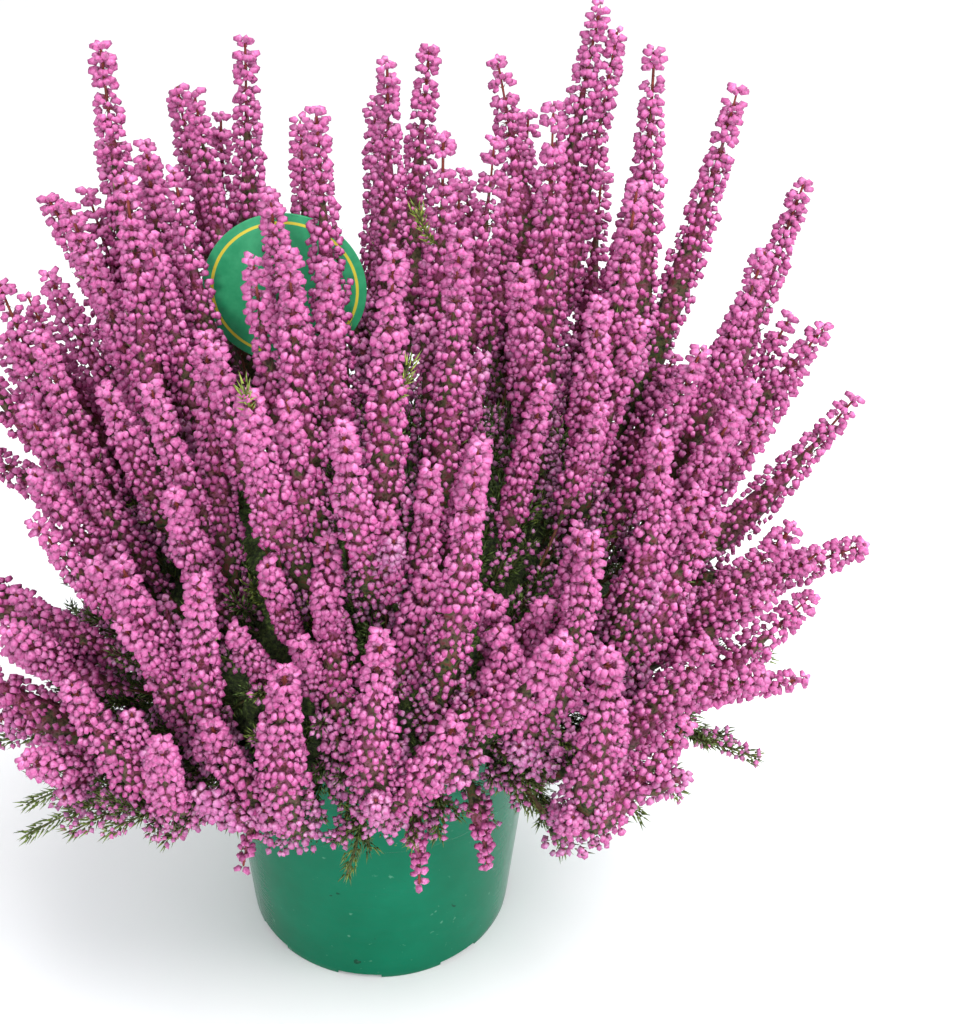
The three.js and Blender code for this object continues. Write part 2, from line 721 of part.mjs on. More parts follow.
function makeCrown() {
  const outline = [
    [0, CROWN_FOOT],
    [CROWN_RADIUS, CROWN_FOOT],
    [CROWN_RADIUS, COMPOST_TOP + 1],
    [BURL_RADIUS, CROWN_HEIGHT - BURL_RADIUS],
    [BURL_RADIUS * 0.7, CROWN_HEIGHT - BURL_RADIUS * 0.3],
    [0, CROWN_HEIGHT],
  ].map(([radius, height]) => new THREE.Vector2(radius, height));
  const turned = new THREE.LatheGeometry(outline, CROWN_SIDES);
  turned.rotateX(Math.PI / 2);
  return solidOf(turned);
}

function makeBranches(lines) {
  return fuse([makeCrown(), ...lines.map(makeLimb), ...SHOOTS.map(makeShoot)]);
}

function numbered(name, i) {
  return `${name}_${String(i + 1).padStart(2, '0')}`;
}

const plant = new THREE.Group();
plant.name = 'potted_cape_heath';

const { sprays, tufts } = layOutSprays();

plant.add(meshFrom('pot', makePot(), GREEN_PLASTIC));
plant.add(meshFrom('compost', makeCompost([makeCrownHole(), makeStakeHole()]), DARK_COMPOST));
plant.add(meshFrom('label', makeLabel(), LABEL_GREEN));
const bearing = [...sprays.map(([main]) => main), ...tufts];
plant.add(meshFrom('leafy_branches', makeBranches(bearing), HEATH_GREEN));
sprays.forEach((lines, i) => {
  plant.add(meshFrom(numbered('flower_spray', i), fuse(lines.map(makeSpike)), FLOWER_PINK));
});
tufts.forEach((line, i) => {
  plant.add(meshFrom(numbered('rim_tuft', i), partTwins(makeSpike(line)), FLOWER_PINK));
});

export default plant;
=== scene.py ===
# Looks of the potted cape heath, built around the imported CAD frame. Metres, +Z up, -Y is the front.
import math

import bpy
import numpy as np
from mathutils import Matrix, Vector, noise as field


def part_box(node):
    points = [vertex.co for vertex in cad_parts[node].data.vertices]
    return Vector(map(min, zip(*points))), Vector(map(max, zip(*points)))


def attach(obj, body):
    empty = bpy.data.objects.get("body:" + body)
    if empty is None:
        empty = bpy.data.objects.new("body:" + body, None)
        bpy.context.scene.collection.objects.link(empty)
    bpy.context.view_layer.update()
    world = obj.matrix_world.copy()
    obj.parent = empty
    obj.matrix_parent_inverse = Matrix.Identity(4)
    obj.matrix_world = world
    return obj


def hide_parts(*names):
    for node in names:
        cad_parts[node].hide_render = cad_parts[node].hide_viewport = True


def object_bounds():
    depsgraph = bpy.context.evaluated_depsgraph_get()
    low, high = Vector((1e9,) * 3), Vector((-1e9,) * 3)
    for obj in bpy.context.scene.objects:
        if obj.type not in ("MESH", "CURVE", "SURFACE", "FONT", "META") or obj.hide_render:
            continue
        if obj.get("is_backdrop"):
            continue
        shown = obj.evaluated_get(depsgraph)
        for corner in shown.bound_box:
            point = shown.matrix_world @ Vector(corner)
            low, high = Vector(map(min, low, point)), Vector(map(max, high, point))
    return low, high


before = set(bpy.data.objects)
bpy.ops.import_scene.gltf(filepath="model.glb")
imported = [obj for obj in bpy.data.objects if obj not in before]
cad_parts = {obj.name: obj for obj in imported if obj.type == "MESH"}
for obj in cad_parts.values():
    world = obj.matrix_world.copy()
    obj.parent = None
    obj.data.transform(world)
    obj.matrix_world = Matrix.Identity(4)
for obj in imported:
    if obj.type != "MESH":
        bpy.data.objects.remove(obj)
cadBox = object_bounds()
mm = 0.001
scene = bpy.context.scene
rng = np.random.default_rng(4207)
goldenTurn = 2.39996  # turning by this each time spreads things evenly
fullTurn = 6.28
sharpAngle = math.radians(40)
print("frame loaded:", len(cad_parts), "nodes")


# Small helpers for node trees: a wire is a plain value or the output socket it comes from
def wire(tree, value, socket):
    if isinstance(value, bpy.types.NodeSocket):
        tree.links.new(value, socket)
    else:
        socket.default_value = value


def put(tree, kind, wires=None, **settings):
    made = tree.nodes.new(kind)
    for name, value in settings.items():
        setattr(made, name, value)
    for key, value in (wires or {}).items():
        wire(tree, value, made.inputs[key])
    return made


def calc(tree, operation, *values):
    made = put(tree, "ShaderNodeMath", operation=operation)
    for i, value in enumerate(values):
        wire(tree, value, made.inputs[i])
    return made.outputs[0]


def vecCalc(tree, operation, *values):
    made = put(tree, "ShaderNodeVectorMath", operation=operation)
    for i, value in enumerate(values):
        wire(tree, value, made.inputs["Scale" if operation == "SCALE" and i == 1 else i])
    return made.outputs["Value" if operation == "LENGTH" else 0]


def times(tree, *values):
    product = values[0]
    for value in values[1:]:
        product = calc(tree, "MULTIPLY", product, value)
    return product


def remap(tree, value, low, high, newLow, newHigh):
    return put(tree, "ShaderNodeMapRange", {0: value, 1: low, 2: high, 3: newLow, 4: newHigh}).outputs[0]


def randomBetween(tree, low, high, seed, key=None):
    made = put(tree, "FunctionNodeRandomValue", data_type="FLOAT")
    sockets = {s.identifier: s for s in made.inputs}
    wire(tree, low, sockets["Min_001"])
    wire(tree, high, sockets["Max_001"])
    wire(tree, seed, sockets["Seed"])
    if key is not None:
        wire(tree, key, sockets["ID"])
    return next(s for s in made.outputs if s.identifier == "Value_001")


def named(tree, name):
    return put(tree, "GeometryNodeInputNamedAttribute", {"Name": name}, data_type="FLOAT").outputs[0]


def keep(tree, geometry, name, value):
    wires = {"Geometry": geometry, "Name": name, "Value": value}
    return put(tree, "GeometryNodeStoreNamedAttribute", wires, data_type="FLOAT").outputs[0]


def newTree(name, inputs):
    tree = bpy.data.node_groups.new(name, "GeometryNodeTree")
    tree.interface.new_socket("Geometry", in_out="INPUT", socket_type="NodeSocketGeometry")
    tree.interface.new_socket("Geometry", in_out="OUTPUT", socket_type="NodeSocketGeometry")
    for label, kind in inputs.items():
        tree.interface.new_socket(label, in_out="INPUT", socket_type="NodeSocket" + kind)
    start = tree.nodes.new("NodeGroupInput")
    end = tree.nodes.new("NodeGroupOutput")
    return tree, start.outputs, end.inputs


# Runs a tree on an object and gives the plain mesh that it makes
def grow(obj, tree, settings):
    modifier = obj.modifiers.new("grow", "NODES")
    modifier.node_group = tree
    sockets = {s.name: s.identifier for s in tree.interface.items_tree if s.in_out == "INPUT"}
    for label, value in settings.items():
        modifier[sockets[label]] = value
    grown = evaluated(obj)
    obj.modifiers.remove(modifier)
    return grown


def evaluated(obj):
    return bpy.data.meshes.new_from_object(obj.evaluated_get(bpy.context.evaluated_depsgraph_get()))


def newObject(name, mesh):
    obj = bpy.data.objects.new(name, mesh)
    scene.collection.objects.link(obj)
    return obj


def hand(obj, slot, *nodes):
    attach(obj, "root")
    if nodes:
        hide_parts(*nodes)
    return obj


def sayTriangles(mesh, what):
    mesh.calc_loop_triangles()
    print(what, len(mesh.loop_triangles), "triangles")


# Materials
def newMaterial(name):
    made = bpy.data.materials.new(name)
    made.use_nodes = True
    return made, made.node_tree, made.node_tree.nodes["Principled BSDF"]


def srgb(red, green, blue):
    def linear(value):
        share = value / 255
        return share / 12.92 if share <= 0.04045 else ((share + 0.055) / 1.055) ** 2.4
    return (linear(red), linear(green), linear(blue), 1.0)


def ramp(tree, value, stops):
    made = put(tree, "ShaderNodeValToRGB", {0: value})
    elements = made.color_ramp.elements
    while len(elements) < len(stops):
        elements.new(0.5)
    for element, (place, color) in zip(elements, stops):
        element.position = place
        element.color = color
    return made.outputs[0]


def blendColors(tree, share, first, second, way="MIX"):
    made = put(tree, "ShaderNodeMix", data_type="RGBA", blend_type=way)
    wire(tree, share, made.inputs[0])
    wire(tree, first, made.inputs[6])
    wire(tree, second, made.inputs[7])
    return made.outputs[2]


# Darkens or lightens a color by a factor
def dimmed(tree, color, factor):
    gray = put(tree, "ShaderNodeCombineColor", {0: factor, 1: factor, 2: factor}).outputs[0]
    return blendColors(tree, 1.0, color, gray, "MULTIPLY")


def attribute(tree, name):
    return put(tree, "ShaderNodeAttribute", attribute_name=name).outputs["Fac"]


def ownPlace(tree):
    return put(tree, "ShaderNodeTexCoord").outputs["Object"]


def noise(tree, scale, detail=3.0, roughness=0.55, place=None):
    wires = {"Scale": scale, "Detail": detail, "Roughness": roughness, "Vector": place or ownPlace(tree)}
    return put(tree, "ShaderNodeTexNoise", wires).outputs[0]


def bump(tree, shader, height, strength, distance):
    made = put(tree, "ShaderNodeBump", {"Height": height, "Strength": strength, "Distance": distance})
    tree.links.new(made.outputs[0], shader.inputs["Normal"])


petal = {
    # This pale pink and the aged one below are a painted highlight on the upper, calyx end of each nodding
    # bell, where the light falls
    "light": srgb(230, 150, 202),
    "fresh": srgb(200, 90, 156),
    # This deeper pink and the aged one below are the lobes' own deeper colour, darkened further as painted
    # shade on the lower, mouth end of each bell
    "deep": srgb(166, 50, 118),
    "agedLight": srgb(214, 188, 210),
    "aged": srgb(184, 132, 178),
    "agedDeep": srgb(142, 76, 130),
    "calyx": srgb(104, 38, 38),
    # Painted shade in each bell's opening: a dark spot at the mouth end
    "mouth": srgb(92, 16, 50),
    "brightness": (0.72, 1.08),
    # Painted light: bells high on each spike are blended towards the painted highlight pink, as if lit more
    # from above
    "palerTip": (0.55, 1.0, 0.0, 0.3),  # from and to which rise, and how much paler
}


def makePetalMaterial():
    made, tree, shader = newMaterial("bellPetal")
    along = attribute(tree, "alongBell")
    # Colour along each bell from stem to mouth: red-brown calyx, painted highlight, its own pink, a deeper
    # pink with painted shade, and painted shade in the opening
    fresh = ramp(tree, along, [(0.12, petal["calyx"]), (0.22, petal["light"]), (0.55, petal["fresh"]),
                               (0.88, petal["deep"]), (0.96, petal["mouth"])])
    aged = ramp(tree, along, [(0.1, petal["calyx"]), (0.2, petal["agedLight"]), (0.55, petal["aged"]),
                              (0.9, petal["agedDeep"]), (0.97, petal["mouth"])])
    # Painted light on the upper parts of the spikes, mixed into the unaged colour
    paler = remap(tree, attribute(tree, "rise"), *petal["palerTip"])
    young = blendColors(tree, paler, fresh, petal["light"])
    color = blendColors(tree, attribute(tree, "age"), young, aged)
    shade = dimmed(tree, color, remap(tree, attribute(tree, "tint"), 0.0, 1.0, *petal["brightness"]))
    veins = remap(tree, noise(tree, 900.0, 2.0), 0.35, 0.7, 0.0, 0.3)
    lit = blendColors(tree, veins, shade, petal["light"])
    seams = remap(tree, noise(tree, 1000.0, 1.0), 0.5, 0.62, 0.0, 0.5)
    mottled = blendColors(tree, seams, lit, petal["deep"])
    tree.links.new(mottled, shader.inputs["Base Color"])
    shader.inputs["Roughness"].default_value = 0.6
    shader.inputs["Specular IOR Level"].default_value = 0.25
    return made


# Stem, calyx stubs and needles deep in a spike, seen between its bells
def makeHeartMaterial():
    made, tree, shader = newMaterial("spikeHeart")
    grain = noise(tree, 480.0, 3.0, 0.65)
    pink = ramp(tree, grain, [(0.34, srgb(70, 22, 26)), (0.44, srgb(118, 44, 60)), (0.56, srgb(164, 78, 128)),
                              (0.66, srgb(110, 42, 62))])
    green = ramp(tree, grain, [(0.36, srgb(26, 32, 14)), (0.5, srgb(72, 86, 40)), (0.66, srgb(112, 46, 48))])
    leafy = calc(tree, "MAXIMUM", remap(tree, noise(tree, 110.0, 2.0), 0.48, 0.58, 0.0, 0.85),
                 remap(tree, attribute(tree, "rise"), 0.35, 0.62, 1.0, 0.0))
    color = blendColors(tree, leafy, pink, green)
    tree.links.new(color, shader.inputs["Base Color"])
    shader.inputs["Roughness"].default_value = 0.8
    bump(tree, shader, grain, 1.0, 0.8 * mm)
    return made


# Needles deep in the bush, too dense to tell apart
def makeThicketMaterial():
    made, tree, shader = newMaterial("innerThicket")
    strands = noise(tree, 620.0, 4.0, 0.75)
    clumps = noise(tree, 90.0, 2.0)
    color = ramp(tree, strands, [(0.34, srgb(20, 28, 14)), (0.46, srgb(48, 64, 28)),
                                 (0.58, srgb(84, 106, 46)), (0.72, srgb(132, 150, 84))])
    shade = dimmed(tree, color, remap(tree, clumps, 0.35, 0.65, 0.6, 1.0))
    tree.links.new(shade, shader.inputs["Base Color"])
    shader.inputs["Roughness"].default_value = 0.8
    bump(tree, shader, strands, 1.0, 1.5 * mm)
    return made


def makeNeedleMaterial():
    made, tree, shader = newMaterial("needleLeaf")
    tint = attribute(tree, "tint")
    dark = ramp(tree, tint, [(0.0, srgb(34, 52, 20)), (0.5, srgb(60, 86, 34)), (1.0, srgb(104, 132, 60))])
    young = ramp(tree, tint, [(0.0, srgb(104, 128, 44)), (1.0, srgb(170, 186, 80))])
    grain = noise(tree, 700.0, 2.0)
    color = blendColors(tree, attribute(tree, "age"), dark, young)
    shaded = blendColors(tree, remap(tree, grain, 0.4, 0.7, 0.0, 0.3), color, srgb(96, 122, 56))
    tree.links.new(shaded, shader.inputs["Base Color"])
    shader.inputs["Roughness"].default_value = 0.5
    return made


oldBark = [(0.3, srgb(62, 44, 26)), (0.6, srgb(98, 76, 48)), (0.8, srgb(130, 106, 70))]
stemFinishes = {
    "heathBark": {"young": [(0.3, srgb(104, 38, 30)), (0.7, srgb(150, 66, 54))],
                  "turns": (0.0, 1.0), "roughness": 0.75},
    "greenShoot": {"young": [(0.3, srgb(52, 66, 26)), (0.7, srgb(96, 98, 50))],
                   "turns": (0.26, 0.36), "roughness": 0.7},
}


# Brown bark at the foot that turns to the young color further up
def makeStemMaterial(name):
    made, tree, shader = newMaterial(name)
    finish = stemFinishes[name]
    grain = noise(tree, 420.0, 4.0)
    turned = remap(tree, attribute(tree, "rise"), *finish["turns"], 0.0, 1.0)
    color = blendColors(tree, turned, ramp(tree, grain, oldBark), ramp(tree, grain, finish["young"]))
    tree.links.new(color, shader.inputs["Base Color"])
    shader.inputs["Roughness"].default_value = finish["roughness"]
    bump(tree, shader, grain, 0.5, 0.3 * mm)
    return made


def makePotMaterial():
    made, tree, shader = newMaterial("greenPlastic")
    place = ownPlace(tree)
    cloud = noise(tree, 28.0, 4.0, 0.6, place)
    color = ramp(tree, cloud, [(0.3, srgb(0, 96, 68)), (0.55, srgb(1, 104, 75)), (0.8, srgb(6, 114, 84))])
    specks = noise(tree, 260.0, 2.0, 0.5, place)
    dust = remap(tree, specks, 0.7, 0.76, 0.0, 0.35)
    crumb = remap(tree, noise(tree, 150.0, 2.0, 0.5, place), 0.735, 0.755, 0.0, 0.75)
    color = blendColors(tree, dust, color, srgb(120, 176, 150))
    color = blendColors(tree, crumb, color, srgb(8, 44, 30))
    tree.links.new(color, shader.inputs["Base Color"])
    stretched = put(tree, "ShaderNodeMapping", {"Vector": place, "Scale": (1.0, 1.0, 0.06)}).outputs[0]
    scuffs = noise(tree, 420.0, 3.0, 0.6, stretched)
    tree.links.new(remap(tree, scuffs, 0.35, 0.72, 0.1, 0.24), shader.inputs["Roughness"])
    shader.inputs["Specular IOR Level"].default_value = 0.06
    level = put(tree, "ShaderNodeMapping", {"Vector": place, "Scale": (0.04, 0.04, 1.0)}).outputs[0]
    ridges = noise(tree, 900.0, 2.0, 0.6, level)  # faint level ridges from the mould
    ripple = calc(tree, "ADD", calc(tree, "MULTIPLY", cloud, 0.5), calc(tree, "MULTIPLY", ridges, 0.5))
    bump(tree, shader, ripple, 0.4, 0.5 * mm)
    return made


def makeCompostMaterial():
    made, tree, shader = newMaterial("darkCompost")
    grain = noise(tree, 260.0, 6.0, 0.7)
    color = ramp(tree, grain, [(0.3, srgb(26, 19, 14)), (0.55, srgb(48, 35, 25)), (0.72, srgb(78, 58, 40)),
                               (0.8, srgb(120, 98, 72))])
    tree.links.new(color, shader.inputs["Base Color"])
    shader.inputs["Roughness"].default_value = 0.95
    bump(tree, shader, grain, 1.0, 2.0 * mm)
    return made


tag = {
    "ringAt": 0.885, "ringHalf": 0.018, "stakeTop": 0.5,  # shares of the disc's radius
    "sides": 128, "round": 0.3 * mm, "stakeWide": 8 * mm, "point": 9 * mm,
}


def makeLabelMaterial():
    made, tree, shader = newMaterial("labelCard")
    low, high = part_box("label")
    radius = (high.x - low.x) / 2
    place = ownPlace(tree)
    center = Vector(((low.x + high.x) / 2, (low.y + high.y) / 2, high.z - radius))
    parts = put(tree, "ShaderNodeSeparateXYZ", {0: vecCalc(tree, "SUBTRACT", place, center)}).outputs
    flat = put(tree, "ShaderNodeCombineXYZ", {0: parts[0], 1: parts[2], 2: 0.0}).outputs[0]
    reach = calc(tree, "DIVIDE", vecCalc(tree, "LENGTH", flat), radius)
    offRing = calc(tree, "ABSOLUTE", calc(tree, "SUBTRACT", reach, tag["ringAt"]))
    ring = calc(tree, "LESS_THAN", offRing, tag["ringHalf"])
    fiber = noise(tree, 320.0, 3.0, 0.6, place)
    green = ramp(tree, fiber, [(0.3, srgb(42, 156, 104)), (0.7, srgb(60, 172, 118))])
    color = blendColors(tree, ring, green, srgb(226, 214, 70))
    tree.links.new(color, shader.inputs["Base Color"])
    shader.inputs["Roughness"].default_value = 0.38
    bump(tree, shader, fiber, 0.15, 0.1 * mm)
    return made


def makeFloorMaterial():
    made, tree, shader = newMaterial("paleFloor")
    color = ramp(tree, noise(tree, 6.0), [(0.35, srgb(249, 250, 252)), (0.7, srgb(253, 253, 254))])
    tree.links.new(color, shader.inputs["Base Color"])
    shader.inputs["Roughness"].default_value = 0.6
    return made


looks = {
    "petal": makePetalMaterial(),
    "heart": makeHeartMaterial(),
    "thicket": makeThicketMaterial(),
    "needle": makeNeedleMaterial(),
    "bark": makeStemMaterial("heathBark"),
    "shoot": makeStemMaterial("greenShoot"),
    "pot": makePotMaterial(),
    "compost": makeCompostMaterial(),
    "label": makeLabelMaterial(),
    "floor": makeFloorMaterial(),
}
print("materials ready")


# Camera, floor and light
view = {
    "focal": 1500, "frameHigh": 1024, "sensor": 36, "place": (0.0, -0.462, 0.496),
    "yaw": 4.96, "pitch": 33.35, "roll": 2.11,
}


def makeCamera():
    yaw, pitch, roll = (math.radians(view[key]) for key in ("yaw", "pitch", "roll"))
    ahead = Vector((math.sin(yaw) * math.cos(pitch), math.cos(yaw) * math.cos(pitch), -math.sin(pitch)))
    level = ahead.cross(Vector((0, 0, 1))).normalized()
    upright = level.cross(ahead)
    right = level * math.cos(roll) + upright * math.sin(roll)
    up = upright * math.cos(roll) - level * math.sin(roll)
    data = bpy.data.cameras.new("studioCamera")
    data.sensor_width = view["sensor"]
    data.lens = view["sensor"] * view["focal"] / view["frameHigh"]
    data.clip_start = 0.01
    camera = bpy.data.objects.new("studioCamera", data)
    turned = Matrix((right, up, -ahead)).transposed().to_4x4()
    camera.matrix_world = Matrix.Translation(view["place"]) @ turned
    scene.collection.objects.link(camera)
    scene.camera = camera


lamps = [
    {"name": "skyLamp", "place": (0.45, -0.45, 1.9), "aim": (0, 0, 0.2), "size": 1.2, "power": 28},
    {"name": "windowLamp", "place": (-0.02, -1.9, 1.0), "aim": (0, 0, 0.15), "size": 0.2, "power": 16},
    {"name": "fillLamp", "place": (1.6, -0.6, 1.0), "aim": (0, 0, 0.2), "size": 1.2, "power": 9},
]
worldLight = {"color": (0.97, 0.98, 1.0, 1.0), "strength": 0.82}


def makeStudio():
    bpy.ops.mesh.primitive_plane_add(size=12)
    floor = bpy.context.object
    floor.name = "studioFloor"
    floor.data.materials.append(looks["floor"])
    floor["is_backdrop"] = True
    for lamp in lamps:
        data = bpy.data.lights.new(lamp["name"], "AREA")
        data.energy = lamp["power"]
        data.shape = "DISK"
        data.size = lamp["size"]
        holder = bpy.data.objects.new(lamp["name"], data)
        holder.location = lamp["place"]
        holder.rotation_mode = "QUATERNION"
        way = Vector(lamp["aim"]) - Vector(lamp["place"])
        holder.rotation_quaternion = way.to_track_quat("-Z", "Y")
        scene.collection.objects.link(holder)
    world = bpy.data.worlds.new("studioWorld")
    world.use_nodes = True
    sky = world.node_tree.nodes["Background"]
    sky.inputs["Color"].default_value = worldLight["color"]
    sky.inputs["Strength"].default_value = worldLight["strength"]
    scene.world = world
    scene.view_settings.view_transform = "Standard"


makeCamera()
makeStudio()
print("camera and light ready")


# Mesh of closed rings of points along +Z; a ring is (height, radius, value of alongBell)
def ringMesh(name, rings, sides, twist=0.0):
    points, faces, along, starts = [], [], [], []
    for i, (height, radius, value) in enumerate(rings):
        starts.append(len(points))
        around = 1 if radius == 0 else sides
        for side in range(around):
            angle = 2 * math.pi * (side + i * twist) / sides
            points.append((radius * math.cos(angle), radius * math.sin(angle), height))
            along.append(value)
    for i in range(len(rings) - 1):
        a, b = starts[i], starts[i + 1]
        for side in range(sides):
            after = (side + 1) % sides
            if rings[i][1] == 0:
                faces.append((a, b + after, b + side))
            elif rings[i + 1][1] == 0:
                faces.append((a + side, a + after, b))
            elif twist:
                faces += [(a + side, a + after, b + side), (a + after, b + after, b + side)]
            else:
                faces.append((a + side, a + after, b + after, b + side))
    if rings[0][1] > 0:
        faces.append(tuple(starts[0] + side for side in reversed(range(sides))))
    if rings[-1][1] > 0:
        faces.append(tuple(starts[-1] + side for side in range(sides)))
    mesh = bpy.data.meshes.new(name)
    mesh.from_pydata(points, [], faces)
    mesh.attributes.new("alongBell", "FLOAT", "POINT").data.foreach_set("value", along)
    mesh.shade_smooth()
    return mesh


# Rounds the corners of an outline of (radius, height) points
def softened(outline, radius, steps=2, most=0.45):
    soft = [outline[0]]
    for before, here, after in zip(outline, outline[1:], outline[2:]):
        before, here, after = Vector(before), Vector(here), Vector(after)
        cut = min(radius, most * (before - here).length, most * (after - here).length)
        start = here + (before - here).normalized() * cut
        end = here + (after - here).normalized() * cut
        for i in range(steps + 1):
            share = i / steps
            soft.append(tuple(start.lerp(here, share).lerp(here.lerp(end, share), share)))
    return soft + [outline[-1]]


def turnedMesh(name, outline, sides):
    return ringMesh(name, [(height, radius, 0.0) for radius, height in outline], sides)


def cutAway(obj, cutters):
    for cutter in cutters:
        modifier = obj.modifiers.new("cut", "BOOLEAN")
        modifier.operation = "DIFFERENCE"
        modifier.solver = "EXACT"
        modifier.object = cutter
    mesh = evaluated(obj)
    for leftover in [obj, *cutters]:
        bpy.data.objects.remove(leftover)
    return mesh


potShape = {
    "sides": 120, "baseRadius": 54.8, "height": 121, "wall": 1.4, "taper": 0.08, "softness": 0.9,
    "line": 78, "lineHeight": 0.5, "lineStep": 0.4, "collar": 102, "collarHeight": 0.6, "collarStep": 1.2,
    "secondLine": 106, "secondHeight": 0.3, "secondStep": 0.5, "lip": 1.6, "lipHeight": 2.4, "lipSlope": 0.4,
    "floorUnder": 3.4, "floorTop": 5, "footRing": 1.8, "footGaps": 8, "gapWidth": 18, "gapHeight": 2,
    "gapDepth": 8, "gapInset": 1, "gapTurn": -100, "aboveGaps": 4.5, "drainHoles": 5, "drainRadius": 4,
    "drainRing": 36, "drainCut": 6, "drainSides": 24,
}


def potRadius(height):
    step = potShape["lineStep"] if height > potShape["line"] else 0
    return potShape["baseRadius"] + potShape["taper"] * height + step


def potOutline():
    s = potShape
    collarRadius = potRadius(s["collar"]) + s["collarStep"]
    top = potRadius(s["height"]) + s["collarStep"]
    lip = s["height"] - s["lipHeight"]
    second = potRadius(s["secondLine"]) + s["collarStep"]
    aboveLine = s["line"] + s["lineHeight"]
    aboveCollar = s["collar"] + s["collarHeight"]
    outline = [
        (0, s["floorUnder"]), (s["baseRadius"] - s["footRing"], s["floorUnder"]),
        (s["baseRadius"] - s["footRing"], 0), (s["baseRadius"], 0),
        (potRadius(s["aboveGaps"]), s["aboveGaps"]),
        (potRadius(s["line"]), s["line"]), (potRadius(aboveLine), aboveLine),
        (potRadius(s["collar"]), s["collar"]), (collarRadius, aboveCollar),
        (second, s["secondLine"]), (second + s["secondStep"], s["secondLine"] + s["secondHeight"]),
        (top + s["secondStep"], lip), (top + s["lip"], lip + s["lipSlope"]), (top + s["lip"], s["height"]),
        (top - s["wall"], s["height"]), (potRadius(s["collar"]) - s["wall"], aboveCollar),
        (potRadius(s["floorTop"]) - s["wall"], s["floorTop"]), (0, s["floorTop"]),
    ]
    return [(radius * mm, height * mm) for radius, height in softened(outline, s["softness"])]


def makePot():
    s = potShape
    body = newObject("potBody", turnedMesh("potBody", potOutline(), s["sides"]))
    cutters = []
    for i in range(s["footGaps"]):
        turn = math.radians(s["gapTurn"] + i * 360 / s["footGaps"])
        bpy.ops.mesh.primitive_cube_add(size=1)
        gap = bpy.context.object
        size = (s["gapDepth"] * mm, s["gapWidth"] * mm, 2 * s["gapHeight"] * mm)
        out = Vector((math.cos(turn), math.sin(turn), 0)) * (s["baseRadius"] - s["gapInset"]) * mm
        turned = Matrix.Rotation(turn, 4, "Z") @ Matrix.Diagonal((*size, 1))
        gap.matrix_world = Matrix.Translation(out) @ turned
        cutters.append(gap)
    for i in range(s["drainHoles"]):
        turn = i * 2 * math.pi / s["drainHoles"]
        place = Vector((math.cos(turn), math.sin(turn), 0)) * s["drainRing"] * mm
        place.z = (s["floorUnder"] + s["floorTop"]) / 2 * mm
        bpy.ops.mesh.primitive_cylinder_add(vertices=s["drainSides"], radius=s["drainRadius"] * mm,
                                            depth=s["drainCut"] * mm, location=place)
        cutters.append(bpy.context.object)
    mesh = cutAway(body, cutters)
    mesh.shade_smooth()
    mesh.set_sharp_from_angle(angle=sharpAngle)
    mesh.materials.clear()
    mesh.materials.append(looks["pot"])
    hand(newObject("moldedPot", mesh), "pot_green", "pot")
    sayTriangles(mesh, "pot:")


soil = {
    "sides": 64, "rings": 16, "ringSpread": 1.1, "inset": 0.4 * mm, "gapToWall": 0.6, "lump": 1.6 * mm,
    "sunk": 0.6, "levelEdge": 4 * mm, "crumbs": 360, "crumbSize": (0.5, 1.7), "crumbRadius": 0.062,
    # each lump is its width, its share of the height and its slice of the noise
    "lumps": [(16 * mm, 0.7, 3.1), (4 * mm, 0.45, 7.7)],
}


# Height of the compost's lumps at a place
def soilBump(x, y):
    heights = [share * field.noise(Vector((x / wide, y / wide, level)))
               for wide, share, level in soil["lumps"]]
    return soil["lump"] * sum(heights)


def makeCompost():
    low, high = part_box("compost")
    topRadius = (high.x - low.x) / 2 - soil["inset"]
    lineRadius = (potRadius(potShape["collar"]) - potShape["wall"] - soil["gapToWall"]) * mm
    bottomRadius = (potRadius(low.z / mm) - potShape["wall"] - soil["gapToWall"]) * mm
    top = high.z - soil["lump"] * soil["sunk"]
    rings = [(low.z, 0, 0.0), (low.z, bottomRadius, 0.0), (potShape["collar"] * mm, lineRadius, 0.0)]
    inward = [(i / soil["rings"]) ** soil["ringSpread"] for i in range(soil["rings"])]
    rings += [(top, topRadius * (1 - share), 0.0) for share in inward]
    rings.append((top, 0, 0.0))
    mesh = ringMesh("compostBody", rings, soil["sides"])
    for vertex in mesh.vertices:
        if vertex.co.z > top - mm:
            edge = min(1.0, (topRadius - math.hypot(vertex.co.x, vertex.co.y)) / soil["levelEdge"])
            vertex.co.z += soilBump(vertex.co.x, vertex.co.y) * edge
    holder = newObject("compostBody", mesh)
    grown = grow(holder, crumbTree, {"Crumb": items["crumb"], "Count": soil["crumbs"], "Floor": top - mm,
                                     "Small": soil["crumbSize"][0] * mm, "Large": soil["crumbSize"][1] * mm,
                                     "Seed": 5, "Soil": looks["compost"]})
    bpy.data.objects.remove(holder)
    hand(newObject("pottingCompost", grown), "compost", "compost")
    sayTriangles(grown, "compost:")


